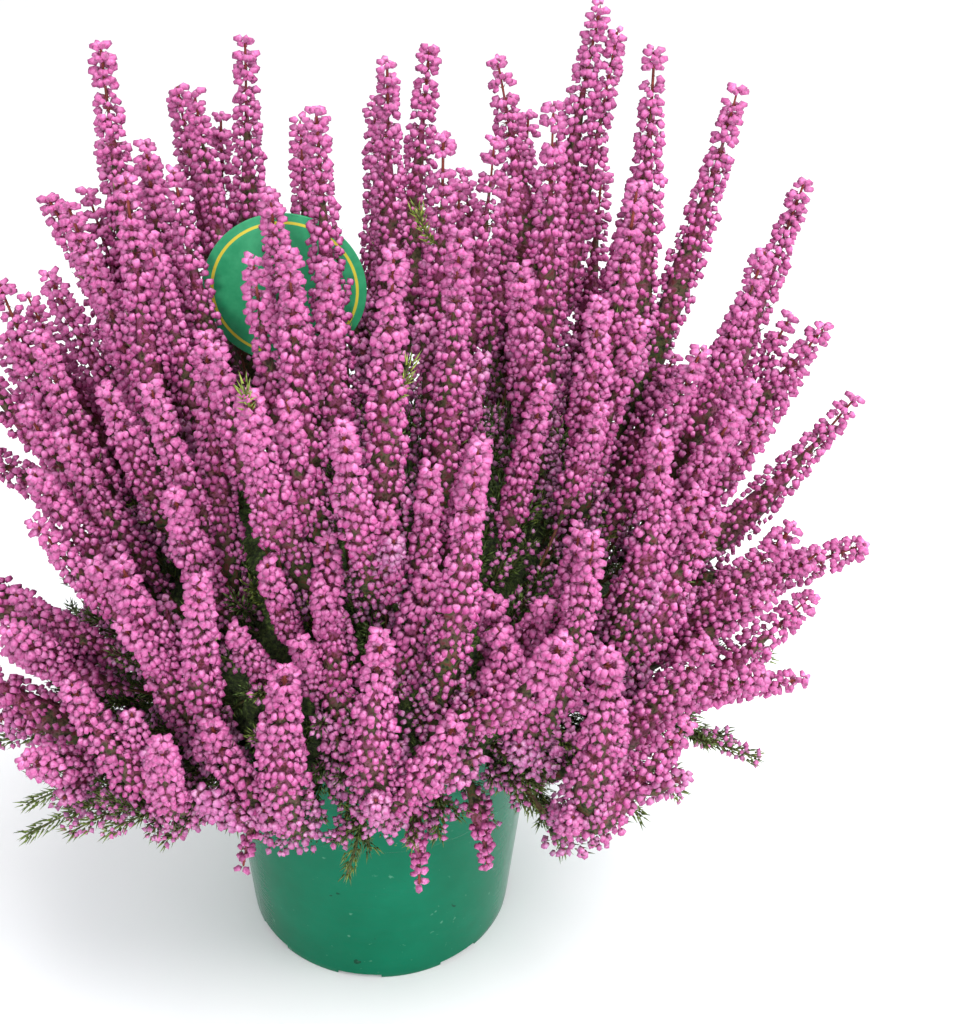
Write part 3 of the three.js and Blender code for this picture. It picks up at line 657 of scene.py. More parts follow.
# Disc and stake of the label, one plate with rounded edges
def makeLabel():
    low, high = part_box("label")
    radius = (high.x - low.x) / 2
    half = (high.y - low.y) / 2
    center = Vector(((low.x + high.x) / 2, (low.y + high.y) / 2, high.z - radius))
    outline = [(0, -half), (radius, -half), (radius, half), (0, half)]
    disc = newObject("disc", turnedMesh("disc", softened(outline, tag["round"]), tag["sides"]))
    disc.matrix_world = Matrix.Translation(center) @ Matrix.Rotation(math.pi / 2, 4, "X")
    wide = tag["stakeWide"] / 2
    top = center.z - radius * tag["stakeTop"]
    shoulder = low.z + tag["point"]
    sides = [(-wide, top), (-wide, shoulder), (0, low.z), (wide, shoulder), (wide, top)]
    points = [(center.x + x, center.y + y, z) for y in (-half, half) for x, z in sides]
    count = len(sides)
    faces = [tuple(range(count)), tuple(range(2 * count - 1, count - 1, -1))]
    faces += [(i, i + count, (i + 1) % count + count, (i + 1) % count) for i in range(count)]
    stake = bpy.data.meshes.new("stake")
    stake.from_pydata(points, [], faces)
    fused = disc.modifiers.new("fuse", "BOOLEAN")
    fused.operation = "UNION"
    fused.solver = "EXACT"
    fused.object = newObject("stake", stake)
    mesh = evaluated(disc)
    mesh.transform(disc.matrix_world)
    for leftover in (fused.object, disc):
        bpy.data.objects.remove(leftover)
    mesh.shade_smooth()
    mesh.set_sharp_from_angle(angle=sharpAngle)
    mesh.materials.clear()
    mesh.materials.append(looks["label"])
    hand(newObject("roundLabel", mesh), "label_green", "label")
    sayTriangles(mesh, "label:")


bell = {  # rings are (share of length, share of radius, value of alongBell)
    "length": 3.2 * mm, "radius": 1.24 * mm, "stalkRadius": 0.3 * mm,
    "fine": [(0, 0, 0.0), (0.32, 1, 0.32), (0.92, 0.55, 0.93), (0.8, 0, 1.0)],
    "plain": [(0, 0, 0.0), (0.28, 1, 0.28), (0.76, 0.9, 0.76), (0.98, 0, 1.0)],
    "bud": [(0, 0, 0.0), (0.45, 0.85, 0.45), (0.9, 0, 0.93)],
    "growth": (0.4, 0.85, 0.98, 1.12),  # from and to which rise, and the size at each
}

leaf = {"length": 3.7 * mm, "radius": 0.42 * mm}


def makeItems():
    length, radius = bell["length"], bell["radius"]
    fine, plain, bud = ([(length * height, radius * wide, along) for height, wide, along in bell[kind]]
                        for kind in ("fine", "plain", "bud"))
    needle = [(0, leaf["radius"], 0.0), (leaf["length"], 0, 1.0)]
    meshes = {
        "fineBell": ringMesh("fineBell", fine, 4, 0.5),
        "plainBell": ringMesh("plainBell", plain, 3, 0.5),
        "bud": ringMesh("bud", bud, 4),
        "needle": ringMesh("needle", needle, 3),
        "stalk": ringMesh("stalk", [(0, bell["stalkRadius"], 0.0), (1.0, 0, 1.0)], 3),  # scaled later
        "crumb": ringMesh("crumb", [(-0.8, 0, 0.0), (-0.3, 0.9, 0.0), (0.45, 0.7, 0.0), (0.9, 0, 0.0)], 5),
    }
    return {name: newObject(name, mesh) for name, mesh in meshes.items()}


items = makeItems()


def finishTree(tree, parts, out):
    joined = put(tree, "GeometryNodeJoinGeometry")
    for part in parts:
        tree.links.new(part, joined.inputs[0])
    tree.links.new(put(tree, "GeometryNodeRealizeInstances", {0: joined.outputs[0]}).outputs[0], out[0])


def painted(tree, geometry, material):
    return put(tree, "GeometryNodeSetMaterial", {"Geometry": geometry, "Material": material}).outputs[0]


def coat(tree, geometry, material):
    return painted(tree, put(tree, "GeometryNodeRealizeInstances", {0: geometry}).outputs[0], material)


# Crumbs strewn over the upward faces of the compost
def makeCrumbTree():
    tree, start, end = newTree("crumbTree", {
        "Crumb": "Object", "Count": "Int", "Floor": "Float", "Small": "Float", "Large": "Float",
        "Seed": "Int", "Soil": "Material"})
    place = put(tree, "GeometryNodeInputPosition").outputs[0]
    height = put(tree, "ShaderNodeSeparateXYZ", {0: place}).outputs[2]
    perArea = calc(tree, "DIVIDE", start["Count"], math.pi * soil["crumbRadius"] ** 2)
    density = put(tree, "GeometryNodeDistributePointsOnFaces", {
        "Mesh": start["Geometry"], "Selection": calc(tree, "GREATER_THAN", height, start["Floor"]),
        "Density": perArea, "Seed": start["Seed"]})
    info = put(tree, "GeometryNodeObjectInfo", {"Object": start["Crumb"], "As Instance": True})
    angles = {axis: randomBetween(tree, 0.0, fullTurn, calc(tree, "ADD", start["Seed"], axis))
              for axis in range(3)}
    spin = put(tree, "ShaderNodeCombineXYZ", angles).outputs[0]
    size = randomBetween(tree, start["Small"], start["Large"], calc(tree, "ADD", start["Seed"], 9))
    wires = {"Points": density.outputs[0], "Instance": info.outputs["Geometry"],
             "Rotation": spin, "Scale": size}
    crumbs = put(tree, "GeometryNodeInstanceOnPoints", wires).outputs[0]
    body = painted(tree, start["Geometry"], start["Soil"])
    finishTree(tree, [body, coat(tree, crumbs, start["Soil"])], end)
    return tree


crumbTree = makeCrumbTree()
makePot()
makeCompost()
makeLabel()
print("pot, compost and label ready")


# A tube along curves, with the radius and material given
def addTube(tree, curves, radius, step, sides, material):
    coarse = put(tree, "GeometryNodeResampleCurve", {"Curve": curves, "Length": step}, mode="LENGTH")
    sized = put(tree, "GeometryNodeSetCurveRadius", {"Curve": coarse.outputs[0], "Radius": radius})
    ring = put(tree, "GeometryNodeCurvePrimitiveCircle", {"Resolution": sides, "Radius": 1.0})
    wires = {"Curve": sized.outputs[0], "Profile Curve": ring.outputs[0], "Fill Caps": True}
    tube = put(tree, "GeometryNodeCurveToMesh", wires)
    if "Scale" in tube.inputs:
        wire(tree, radius, tube.inputs["Scale"])
    return painted(tree, tube.outputs[0], material)


tubes = {
    "stemStep": 9 * mm, "stemSides": 4, "heartStep": 10 * mm, "heartSides": 5,
    "thins": (0.55, 0.88), "tipShare": 0.08,  # a heart thins to this share of the girth near its tip
    "fills": (0.1, 0.85), "sparseShare": 0.35,  # and where the whorls have few bells
}


# Stems thin from foot to tip
def addStems(tree, curves, start):
    radius = remap(tree, named(tree, "rise"), 0.0, 1.0, start["Stem thick"], start["Stem thin"])
    return addTube(tree, curves, radius, tubes["stemStep"], tubes["stemSides"], start["Bark"])


# The slim heart of a spike, which its bells stand out of
def addHearts(tree, curves, start):
    share = remap(tree, named(tree, "rise"), *tubes["thins"], start["Heart share"], tubes["tipShare"])
    filled = remap(tree, named(tree, "fullness"), *tubes["fills"], tubes["sparseShare"], 1.0)
    radius = times(tree, named(tree, "girth"), share, filled)
    return addTube(tree, curves, radius, tubes["heartStep"], tubes["heartSides"], start["Heart"])


whorls = {
    "turnStray": 0.3, "turnStep": 2.4, "tipFrom": 0.82, "liftStray": 0.35, "lumpScale": 95.0,
    "lumpSpan": (0.34, 0.66), "depths": (0.9, 1.06), "leastReach": 0.4 * mm, "sizes": (0.82, 1.12),
    "loose": 0.5, "calm": 0.34, "calmOver": 0.3, "whorlSlide": 0.22,  # how far items slide along the stem
}


# A direction swung from the first towards the second by an angle
def swung(tree, first, second, angle):
    return vecCalc(tree, "ADD", vecCalc(tree, "SCALE", first, calc(tree, "COSINE", angle)),
                   vecCalc(tree, "SCALE", second, calc(tree, "SINE", angle)))


# Items set in whorls along curves whose points carry girth, rise, age and how full each whorl is
def addWhorls(tree, curves, rule):
    def draw(low, high, step, key=None):
        return randomBetween(tree, low, high, calc(tree, "ADD", rule["seed"], step), key)

    def stray(size, step, key=None):
        return draw(-size, size, step, key)

    dots = put(tree, "GeometryNodeCurveToPoints", {"Curve": curves, "Length": rule["pitch"]}, mode="LENGTH")
    tangent, normal = dots.outputs["Tangent"], dots.outputs["Normal"]
    girth, rise = named(tree, "girth"), named(tree, "rise")
    index = put(tree, "GeometryNodeInputIndex").outputs[0]
    numbered = keep(tree, dots.outputs["Points"], "whorl", index)
    around = calc(tree, "DIVIDE", times(tree, girth, 2 * math.pi), rule["spacing"])
    full = times(tree, around, named(tree, rule.get("full", "fullness")))
    counted = keep(tree, numbered, "amount", calc(tree, "ROUND", full))
    wires = {"Geometry": counted, "Amount": named(tree, "amount")}
    copies = put(tree, "GeometryNodeDuplicateElements", wires, domain="POINT")
    nth = calc(tree, "ADD", copies.outputs["Duplicate Index"], stray(whorls["turnStray"], 0))
    share = times(tree, calc(tree, "DIVIDE", nth, named(tree, "amount")), 2 * math.pi)
    whorl = named(tree, "whorl")
    turn = calc(tree, "ADD", share, times(tree, whorl, whorls["turnStep"]))
    outward = swung(tree, normal, vecCalc(tree, "CROSS_PRODUCT", tangent, normal), turn)
    lifted = remap(tree, rise, whorls["tipFrom"], 1.0, rule["lift"], rule["tipLift"])
    raised = calc(tree, "ADD", lifted, stray(whorls["liftStray"], 1))
    ahead = swung(tree, outward, tangent, raised)
    here = put(tree, "GeometryNodeInputPosition").outputs[0]
    surface = vecCalc(tree, "ADD", here, vecCalc(tree, "SCALE", outward, girth))
    clumps = noise(tree, whorls["lumpScale"], 1.0, 0.5, surface)
    lump = remap(tree, clumps, *whorls["lumpSpan"], 1 - rule["lumps"], 1 + rule["lumps"])
    depth = times(tree, draw(rule["deepest"], 1.0, 2), lump, draw(*whorls["depths"], 11, whorl))
    flat = calc(tree, "SUBTRACT", girth, times(tree, calc(tree, "COSINE", raised), rule["inset"]))
    reach = times(tree, calc(tree, "MAXIMUM", flat, whorls["leastReach"]), depth)
    calmFrom = rule["calmFrom"]
    loose = remap(tree, rise, calmFrom, calmFrom + whorls["calmOver"], whorls["loose"], whorls["calm"])
    shifted = calc(tree, "ADD", times(tree, stray(1.0, 3), loose), stray(whorls["whorlSlide"], 12, whorl))
    slide = times(tree, shifted, rule["pitch"])
    offset = vecCalc(tree, "ADD", vecCalc(tree, "SCALE", outward, reach),
                     vecCalc(tree, "SCALE", tangent, slide))
    points = keep(tree, copies.outputs[0], "tint", draw(0.0, 1.0, 4))
    if "ages" in rule:
        points = keep(tree, points, "age", draw(*rule["ages"], 7))
    aim = put(tree, "FunctionNodeAlignRotationToVector", {"Vector": ahead}, axis="Z").outputs[0]
    angle = draw(0.0, fullTurn, 5)
    spin = put(tree, "FunctionNodeAxisAngleToRotation", {"Axis": (0, 0, 1), "Angle": angle}).outputs[0]
    turned = put(tree, "FunctionNodeRotateRotation", {0: aim, 1: spin}, rotation_space="LOCAL").outputs[0]
    placed = put(tree, "GeometryNodeSetPosition", {"Geometry": points, "Offset": offset}).outputs[0]
    choices = put(tree, "GeometryNodeJoinGeometry")
    for choice in reversed(rule["items"]):
        info = put(tree, "GeometryNodeObjectInfo", {"Object": choice, "As Instance": True})
        tree.links.new(info.outputs["Geometry"], choices.inputs[0])
    pick = rule["pick"](tree, rise, depth) if "pick" in rule else 0
    wires = {"Points": placed, "Instance": choices.outputs[0], "Pick Instance": True, "Instance Index": pick,
             "Rotation": turned, "Scale": times(tree, rule["size"], draw(*whorls["sizes"], 6))}
    made = [put(tree, "GeometryNodeInstanceOnPoints", wires).outputs[0]]
    if "stalk" in rule:
        back = put(tree, "FunctionNodeAlignRotationToVector", {"Vector": offset}, axis="Z").outputs[0]
        length = vecCalc(tree, "LENGTH", offset)
        long = put(tree, "ShaderNodeCombineXYZ", {0: 1.0, 1: 1.0, 2: length}).outputs[0]
        info = put(tree, "GeometryNodeObjectInfo", {"Object": rule["stalk"], "As Instance": True})
        wires = {"Points": points, "Instance": info.outputs["Geometry"], "Rotation": back, "Scale": long,
                 "Selection": calc(tree, "GREATER_THAN", rise, rule["stalkFrom"])}
        made.append(put(tree, "GeometryNodeInstanceOnPoints", wires).outputs[0])
    return made


bellChoice = {"deepBelow": 0.82, "plainBelow": 0.88, "blur": (-0.1, 0.1), "seed": 77}


# Fine bells near the tip, plain ones below, buds deep in the spike
def pickBell(tree, rise, depth):
    blurred = calc(tree, "ADD", rise, randomBetween(tree, *bellChoice["blur"], bellChoice["seed"]))
    deep = calc(tree, "LESS_THAN", depth, bellChoice["deepBelow"])
    low = calc(tree, "LESS_THAN", blurred, bellChoice["plainBelow"])
    return calc(tree, "ADD", times(tree, deep, low), low)


def makeBloomTree():
    tree, start, end = newTree("bloomTree", {
        "Fine bell": "Object", "Plain bell": "Object", "Bud": "Object", "Stalk": "Object", "Needle": "Object",
        "Whorl pitch": "Float", "Bell spacing": "Float", "Bell lift": "Float", "Tip lift": "Float",
        "Bell size": "Float", "Stem thick": "Float", "Stem thin": "Float", "Heart share": "Float",
        "Seed": "Int", "Petal": "Material", "Bark": "Material", "Leaf": "Material", "Heart": "Material"})
    curves = put(tree, "GeometryNodeMeshToCurve", {"Mesh": start["Geometry"]}).outputs[0]
    stems = addStems(tree, curves, start)
    hearts = addHearts(tree, curves, start)
    bells, stalks = addWhorls(tree, curves, {
        "pitch": start["Whorl pitch"], "spacing": start["Bell spacing"], "lift": start["Bell lift"],
        "tipLift": start["Tip lift"], "items": [start["Fine bell"], start["Plain bell"], start["Bud"]],
        "pick": pickBell, "seed": start["Seed"], "inset": bell["length"],
        "size": times(tree, start["Bell size"], remap(tree, named(tree, "rise"), *bell["growth"])),
        "deepest": 0.7, "lumps": 0.15, "calmFrom": 0.45, "stalk": start["Stalk"], "stalkFrom": 0.8})
    leaves = addWhorls(tree, curves, {
        "pitch": times(tree, start["Whorl pitch"], 1.6), "spacing": 14 * mm, "full": "leafy",
        "lift": 0.9, "tipLift": 1.2, "items": [start["Needle"]], "size": 0.85,
        "seed": calc(tree, "ADD", start["Seed"], 50), "inset": 3.4 * mm, "deepest": 0.7, "lumps": 0.1,
        "calmFrom": 0.5, "ages": (0.0, 0.25)})
    finishTree(tree, [stems, hearts, coat(tree, bells, start["Petal"]), coat(tree, stalks, start["Bark"]),
                      coat(tree, leaves[0], start["Leaf"])], end)
    return tree


def makeLeafTree():
    tree, start, end = newTree("leafTree", {
        "Needle": "Object", "Bud": "Object", "Whorl pitch": "Float", "Needle spacing": "Float",
        "Needle lift": "Float", "Needle size": "Float", "Bell pitch": "Float", "Bell spacing": "Float",
        "Stem thick": "Float", "Stem thin": "Float", "Core": "Object", "Seed": "Int",
        "Bark": "Material", "Leaf": "Material", "Petal": "Material"})
    curves = put(tree, "GeometryNodeMeshToCurve", {"Mesh": start["Geometry"]}).outputs[0]
    stems = addStems(tree, curves, start)
    needles = addWhorls(tree, curves, {
        "pitch": start["Whorl pitch"], "spacing": start["Needle spacing"], "lift": start["Needle lift"],
        "tipLift": 1.2, "items": [start["Needle"]], "size": start["Needle size"], "seed": start["Seed"],
        "inset": 3.6 * mm, "deepest": 0.6, "lumps": 0.15, "calmFrom": 1.0})
    bells = addWhorls(tree, curves, {
        "pitch": start["Bell pitch"], "spacing": start["Bell spacing"], "full": "bloom", "lift": -0.4,
        "tipLift": 0.2, "items": [start["Bud"]], "size": 1.05, "seed": calc(tree, "ADD", start["Seed"], 30),
        "inset": 2.4 * mm, "deepest": 0.8, "lumps": 0.2, "calmFrom": 1.0, "ages": (0.1, 0.75)})
    core = put(tree, "GeometryNodeObjectInfo", {"Object": start["Core"]}).outputs["Geometry"]
    finishTree(tree, [stems, core, coat(tree, needles[0], start["Leaf"]),
                      coat(tree, bells[0], start["Petal"])], end)
    return tree


bloomTree = makeBloomTree()
leafTree = makeLeafTree()
print("node trees ready")


# Mesh of a CAD node with its doubled corners merged: places and triangles
def solidOf(node):
    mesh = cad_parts[node].data
    places = np.array([v.co for v in mesh.vertices])
    mesh.calc_loop_triangles()
    corners = np.array([t.vertices for t in mesh.loop_triangles])
    keys, back = np.unique(np.round(places / (0.01 * mm)).astype(np.int64), axis=0, return_inverse=True)
    return keys * 0.01 * mm, back.reshape(-1)[corners]


def halved(places, corners):
    edges = np.sort(np.concatenate([corners[:, [0, 1]], corners[:, [1, 2]], corners[:, [2, 0]]]), axis=1)
    edges, back = np.unique(edges, axis=0, return_inverse=True)
    back = back.reshape(-1)
    middle = (places[edges[:, 0]] + places[edges[:, 1]]) / 2
    m = (back + len(places)).reshape(3, -1).T
    a, b, c = corners.T
    ab, bc, ca = m.T
    pieces = [(a, ab, ca), (ab, b, bc), (ca, bc, c), (ab, bc, ca)]
    return np.concatenate([places, middle]), np.concatenate([np.stack(p, axis=1) for p in pieces])


# Shortest way over the surface from one corner to all others
def surfaceWay(source, edges, lengths, count):
    away = np.full(count, np.inf)
    away[source] = 0
    while True:
        before = away.copy()
        np.minimum.at(away, edges[:, 1], before[edges[:, 0]] + lengths)
        np.minimum.at(away, edges[:, 0], before[edges[:, 1]] + lengths)
        if np.array_equal(before, away):
            return away


def fitBend(shares, points):
    s = shares[:, None]
    basis = np.concatenate([(1 - s) ** 2, 2 * s * (1 - s), s ** 2], axis=1)
    return np.linalg.lstsq(basis, points, rcond=None)[0]


def onBend(bend, share):
    return bend[0] * (1 - share) ** 2 + bend[1] * 2 * share * (1 - share) + bend[2] * share ** 2


reading = {
    "bins": 9, "girthStops": 6, "girthSpan": (0.08, 0.92), "window": 0.12, "outermost": 92,
    "plainGirth": 7 * mm, "cuts": 40, "crown": np.array([0, 0, 119 * mm]),
}


# One spike read from its part of the CAD solid: a bend and its girth from foot to tip
def readSpike(places, mine, fromFoot, tip):
    shares = fromFoot[mine] / fromFoot[tip]
    own = places[mine]
    bins = np.clip((shares * reading["bins"]).astype(int), 0, reading["bins"] - 1)
    used = [b for b in range(reading["bins"]) if (bins == b).any()]
    middles = np.array([own[bins == b].mean(axis=0) for b in used])
    stops = np.array([(b + 0.5) / reading["bins"] for b in used])
    bend = fitBend(stops, middles)
    along = np.array([onBend(bend, s) for s in np.linspace(0, 1, reading["cuts"] + 1)])
    near = np.linalg.norm(own[:, None, :] - along[None, :, :], axis=2)
    where, away = near.argmin(axis=1) / reading["cuts"], near.min(axis=1)
    girths = []
    for stop in np.linspace(*reading["girthSpan"], reading["girthStops"]):
        close = np.abs(where - stop) < reading["window"]
        widest = np.percentile(away[close], reading["outermost"]) if close.any() else reading["plainGirth"]
        girths.append(widest)
    return bend, np.array(girths)


# The two spikes of a spray, or the single one of a rim tuft
def readSpikes(node):
    places, corners = solidOf(node)
    for _ in range(2):
        places, corners = halved(places, corners)
    edges = np.sort(np.concatenate([corners[:, [0, 1]], corners[:, [1, 2]], corners[:, [2, 0]]]), axis=1)
    edges = np.unique(edges, axis=0)
    lengths = np.linalg.norm(places[edges[:, 0]] - places[edges[:, 1]], axis=1)
    foot = np.argmin(np.linalg.norm(places - reading["crown"], axis=1))
    fromFoot = surfaceWay(foot, edges, lengths, len(places))
    firstTip = np.argmax(fromFoot)
    if node.startswith("rim_tuft"):
        return [readSpike(places, fromFoot >= 0, fromFoot, firstTip)]
    fromFirst = surfaceWay(firstTip, edges, lengths, len(places))
    secondTip = np.argmax(fromFoot + fromFirst)
    fromSecond = surfaceWay(secondTip, edges, lengths, len(places))
    fork = (fromFoot[firstTip] + fromFoot[secondTip] - fromFirst[secondTip]) / 2
    offFirst = fromFoot + fromFirst - fromFoot[firstTip]
    offSecond = fromFoot + fromSecond - fromFoot[secondTip]
    trunk = fromFoot < fork
    return [readSpike(places, trunk | (offFirst < offSecond), fromFoot, firstTip),
            readSpike(places, trunk | (offSecond < offFirst), fromFoot, secondTip)]


# Lines with their values at each point, gathered for one mesh of edges
class Lines:
    def __init__(self):
        self.points, self.edges = [], []
        self.values = {"girth": [], "rise": [], "age": [], "fullness": [], "bloom": [], "leafy": []}

    def add(self, points, bloom=0.0, leafy=0.0, **values):
        first = len(self.points)
        self.points += [tuple(p) for p in points]
        self.edges += [(first + i, first + i + 1) for i in range(len(points) - 1)]
        for key, value in {**values, "bloom": bloom, "leafy": leafy}.items():
            self.values[key] += [float(v) for v in np.broadcast_to(value, len(points))]

    # Grows a node tree on the lines and gives the plain mesh
    def grown(self, tree, settings):
        mesh = bpy.data.meshes.new("lines")
        mesh.from_pydata(self.points, self.edges, [])
        for key, store in self.values.items():
            mesh.attributes.new(key, "FLOAT", "POINT").data.foreach_set("value", store)
        holder = newObject("lines", mesh)
        made = grow(holder, tree, settings)
        bpy.data.objects.remove(holder)
        return made


# Values along a spike are (shares from foot to tip), (values there)
spray = {
    "steps": 40,
    "shape": ([0, 0.1, 0.3, 0.6, 0.8, 0.93, 0.975, 1.0], [0.95, 1.06, 1.05, 0.96, 0.88, 0.76, 0.76, 0.4]),
    "full": ([0, 0.06, 0.25, 0.38, 0.7, 0.9, 1.0], [0.12, 0.32, 0.58, 0.9, 1.06, 1.12, 1.3]),
    "leaves": ([0, 0.3, 0.5, 0.72, 0.9], [1.5, 1.5, 1.0, 0.5, 0.0]),
    "tuftFull": ([0, 0.3, 0.55, 1], [0.1, 0.35, 1.05, 1.1]), "tuftLeaves": ([0, 0.5, 0.8], [3, 2.4, 0.5]),
    "neck": (0.935, 0.965), "neckFrom": 105 * mm, "neckChance": 0.35,
    "agedBelow": 0.48, "ageSlope": 1.5, "ageStray": 0.12,
}
sideStem = {
    "root": (0.05, 0.55), "length": (20, 34), "out": 0.6, "ahead": 0.6, "tipWay": (0.25, 0.8, 0.3),
    "girth": ([0, 0.3, 0.8, 1], [2 * mm, 5.4 * mm, 5.4 * mm, 3.4 * mm]), "rise": (0.3, 0.62),
    "age": (0.0, 0.6), "bells": (4, 1), "steps": 6, "labelGap": 12 * mm, "lowTip": 250 * mm,
}
slantedAxis = (0.31, 0.85, 0.41)  # hardly any stem runs along it


def addSpike(lines, bend, girths, tuft=False):
    shares = np.linspace(0, 1, spray["steps"])
    points = [onBend(bend, s) for s in shares]
    stops = np.linspace(*reading["girthSpan"], len(girths))
    girth = np.interp(shares, stops, girths) * np.interp(shares, *spray["shape"])
    full = np.interp(shares, *spray["full"])
    if np.linalg.norm(bend[2] - bend[0]) > spray["neckFrom"] and rng.random() < spray["neckChance"]:
        low, high = spray["neck"]  # bare under the top whorl
        full = np.where((shares > low) & (shares < high), 0.0, full)
    stray = rng.uniform(-spray["ageStray"], spray["ageStray"])
    age = np.clip((spray["agedBelow"] - shares) * spray["ageSlope"] + stray, 0, 1)
    leaves = np.interp(shares, *spray["leaves"])
    if tuft:
        full, leaves = np.interp(shares, *spray["tuftFull"]), np.interp(shares, *spray["tuftLeaves"])
    lines.add(points, girth=girth, rise=shares, age=age, fullness=full, leafy=leaves)


# A value along a stem: nothing at its foot, then more by the rate, up to the most
def climbing(shares, rate, late, most=1):
    return np.clip(shares * rate - late, 0, most)


def perpendicular(ahead, turn):
    side = np.cross(ahead, slantedAxis)
    side /= np.linalg.norm(side)
    other = np.cross(ahead, side)
    return side * math.cos(turn) + other * math.sin(turn)


def nearLabel(place):
    gap = sideStem["labelGap"]
    return all(low - gap < v < high + gap for v, low, high in zip(place, *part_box("label")))


# Short flowering side stems low on a spike
def addSideStems(lines, bend, count):
    for _ in range(count):
        share = rng.uniform(*sideStem["root"])
        root = onBend(bend, share)
        ahead = onBend(bend, share + 0.1) - root
        ahead /= np.linalg.norm(ahead)
        out = perpendicular(ahead, rng.uniform(0, 2 * math.pi))
        length = rng.uniform(*sideStem["length"]) * mm
        middle = root + (out * sideStem["out"] + ahead * sideStem["ahead"]) * length * 0.5
        tipOut, tipAhead, tipUp = sideStem["tipWay"]
        tip = middle + (out * tipOut + ahead * tipAhead + np.array([0, 0, tipUp])) * length * 0.5
        if nearLabel(tip):
            continue  # doesn't grow through the label
        shares = np.linspace(0, 1, sideStem["steps"])
        points = [onBend(np.array([root, middle, tip]), s) for s in shares]
        foot, climb = sideStem["rise"]
        lines.add(points, girth=np.interp(shares, *sideStem["girth"]), rise=foot + climb * shares,
                  age=rng.uniform(*sideStem["age"]), fullness=climbing(shares, *sideStem["bells"]))


bloomSettings = {
    "Fine bell": items["fineBell"], "Plain bell": items["plainBell"], "Bud": items["bud"],
    "Stalk": items["stalk"], "Needle": items["needle"], "Whorl pitch": 3.8 * mm, "Bell spacing": 3.05 * mm,
    "Bell lift": -0.75, "Tip lift": 0.1, "Bell size": 1.02, "Stem thick": 0.9 * mm, "Stem thin": 0.45 * mm,
    "Heart share": 0.6, "Petal": looks["petal"], "Bark": looks["bark"], "Leaf": looks["needle"],
    "Heart": looks["heart"],
}
bloomNodes = sorted(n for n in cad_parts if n.startswith(("flower_spray", "rim_tuft")))
spikesOf = {node: readSpikes(node) for node in bloomNodes}
print("spikes read:", sum(len(s) for s in spikesOf.values()))


def makeSprays():
    total = 0
    for i, node in enumerate(bloomNodes):
        lines = Lines()
        for j, (bend, girths) in enumerate(spikesOf[node]):
            addSpike(lines, bend, girths, node.startswith("rim_tuft"))
            if node.startswith("flower_spray"):
                addSideStems(lines, bend, (i + j) % 2 + (1 if bend[2][2] < sideStem["lowTip"] else 0))
        mesh = lines.grown(bloomTree, {**bloomSettings, "Seed": 100 + 11 * i})
        kind = "sprayBlooms_" if node.startswith("flower_spray") else "tuftBlooms_"
        hand(newObject(kind + node[-2:], mesh), "heath_pink", node)
        mesh.calc_loop_triangles()
        total += len(mesh.loop_triangles)
    print("sprays and tufts:", total, "triangles")


# The dark inner bush: old shoots and dead needles packed round the limbs
heart = {
    "outline": [(0, 112), (50, 113), (61, 121), (74, 129), (84, 145), (78, 171), (57, 192), (30, 203),
                (0, 206)],
    "sides": 72, "step": 6, "lump": 5.5 * mm, "wide": 1.1, "flat": 0.9, "stretchFrom": 125, "stretchOver": 12,
    "rootFrom": 121, "middle": 130 * mm, "lumpWide": 22 * mm, "lumpFine": 9 * mm, "fineShare": 0.6,
    "fineSlice": (3, 5, 7), "turnStray": 0.12,
}


def heartOutline():
    points = []
    for (r0, z0), (r1, z1) in zip(heart["outline"], heart["outline"][1:]):
        cuts = max(1, round(math.hypot(r1 - r0, z1 - z0) / heart["step"]))
        points += [(r0 + (r1 - r0) * i / cuts, z0 + (z1 - z0) * i / cuts) for i in range(cuts)]
    return points + [heart["outline"][-1]]


def heartStretch(height):
    above = min(1, max(0, (height - heart["stretchFrom"]) / heart["stretchOver"]))
    return above, 1 + (heart["wide"] - 1) * above, 1 + (heart["flat"] - 1) * above


def makeHeart():
    outline = [(radius * mm, height * mm) for radius, height in heartOutline()]
    mesh = turnedMesh("innerThicket", outline, heart["sides"])
    shift = Vector(heart["fineSlice"])
    for vertex in mesh.vertices:
        above, wide, flat = heartStretch(vertex.co.z / mm)
        out = Vector((vertex.co.x, vertex.co.y, max(vertex.co.z - heart["middle"], 0)))
        fine = heart["fineShare"] * field.noise(vertex.co / heart["lumpFine"] + shift)
        swell = field.noise(vertex.co / heart["lumpWide"]) + fine
        push = out.normalized() * swell * heart["lump"] * above
        vertex.co = Vector((vertex.co.x * wide, vertex.co.y * flat, vertex.co.z)) + push
    mesh.materials.append(looks["thicket"])
    return newObject("innerThicket", mesh)


# Places spread evenly over the inner bush, with their outward directions
def heartSpots(count):
    outline = [p for p in heartOutline() if p[1] >= heart["rootFrom"]]
    areas = [(a[0] + b[0]) * math.dist(a, b) for a, b in zip(outline, outline[1:])]
    sums = np.concatenate([[0], np.cumsum(areas)]) / sum(areas)
    for i in range(count):
        share = (i + 0.5) / count
        k = min(int(np.searchsorted(sums, share)) - 1, len(areas) - 1)
        radius, height = (np.interp(share, sums, [p[axis] for p in outline]) for axis in (0, 1))
        rises, leans = outline[k + 1][1] - outline[k][1], outline[k + 1][0] - outline[k][0]
        turn = i * goldenTurn + rng.uniform(-heart["turnStray"], heart["turnStray"])
        _, wide, flat = heartStretch(height)
        place = np.array([radius * math.cos(turn) * wide, radius * math.sin(turn) * flat, height]) * mm
        outward = np.array([math.cos(turn) * rises, math.sin(turn) * rises, -leans])
        yield place, outward / np.linalg.norm(outward)


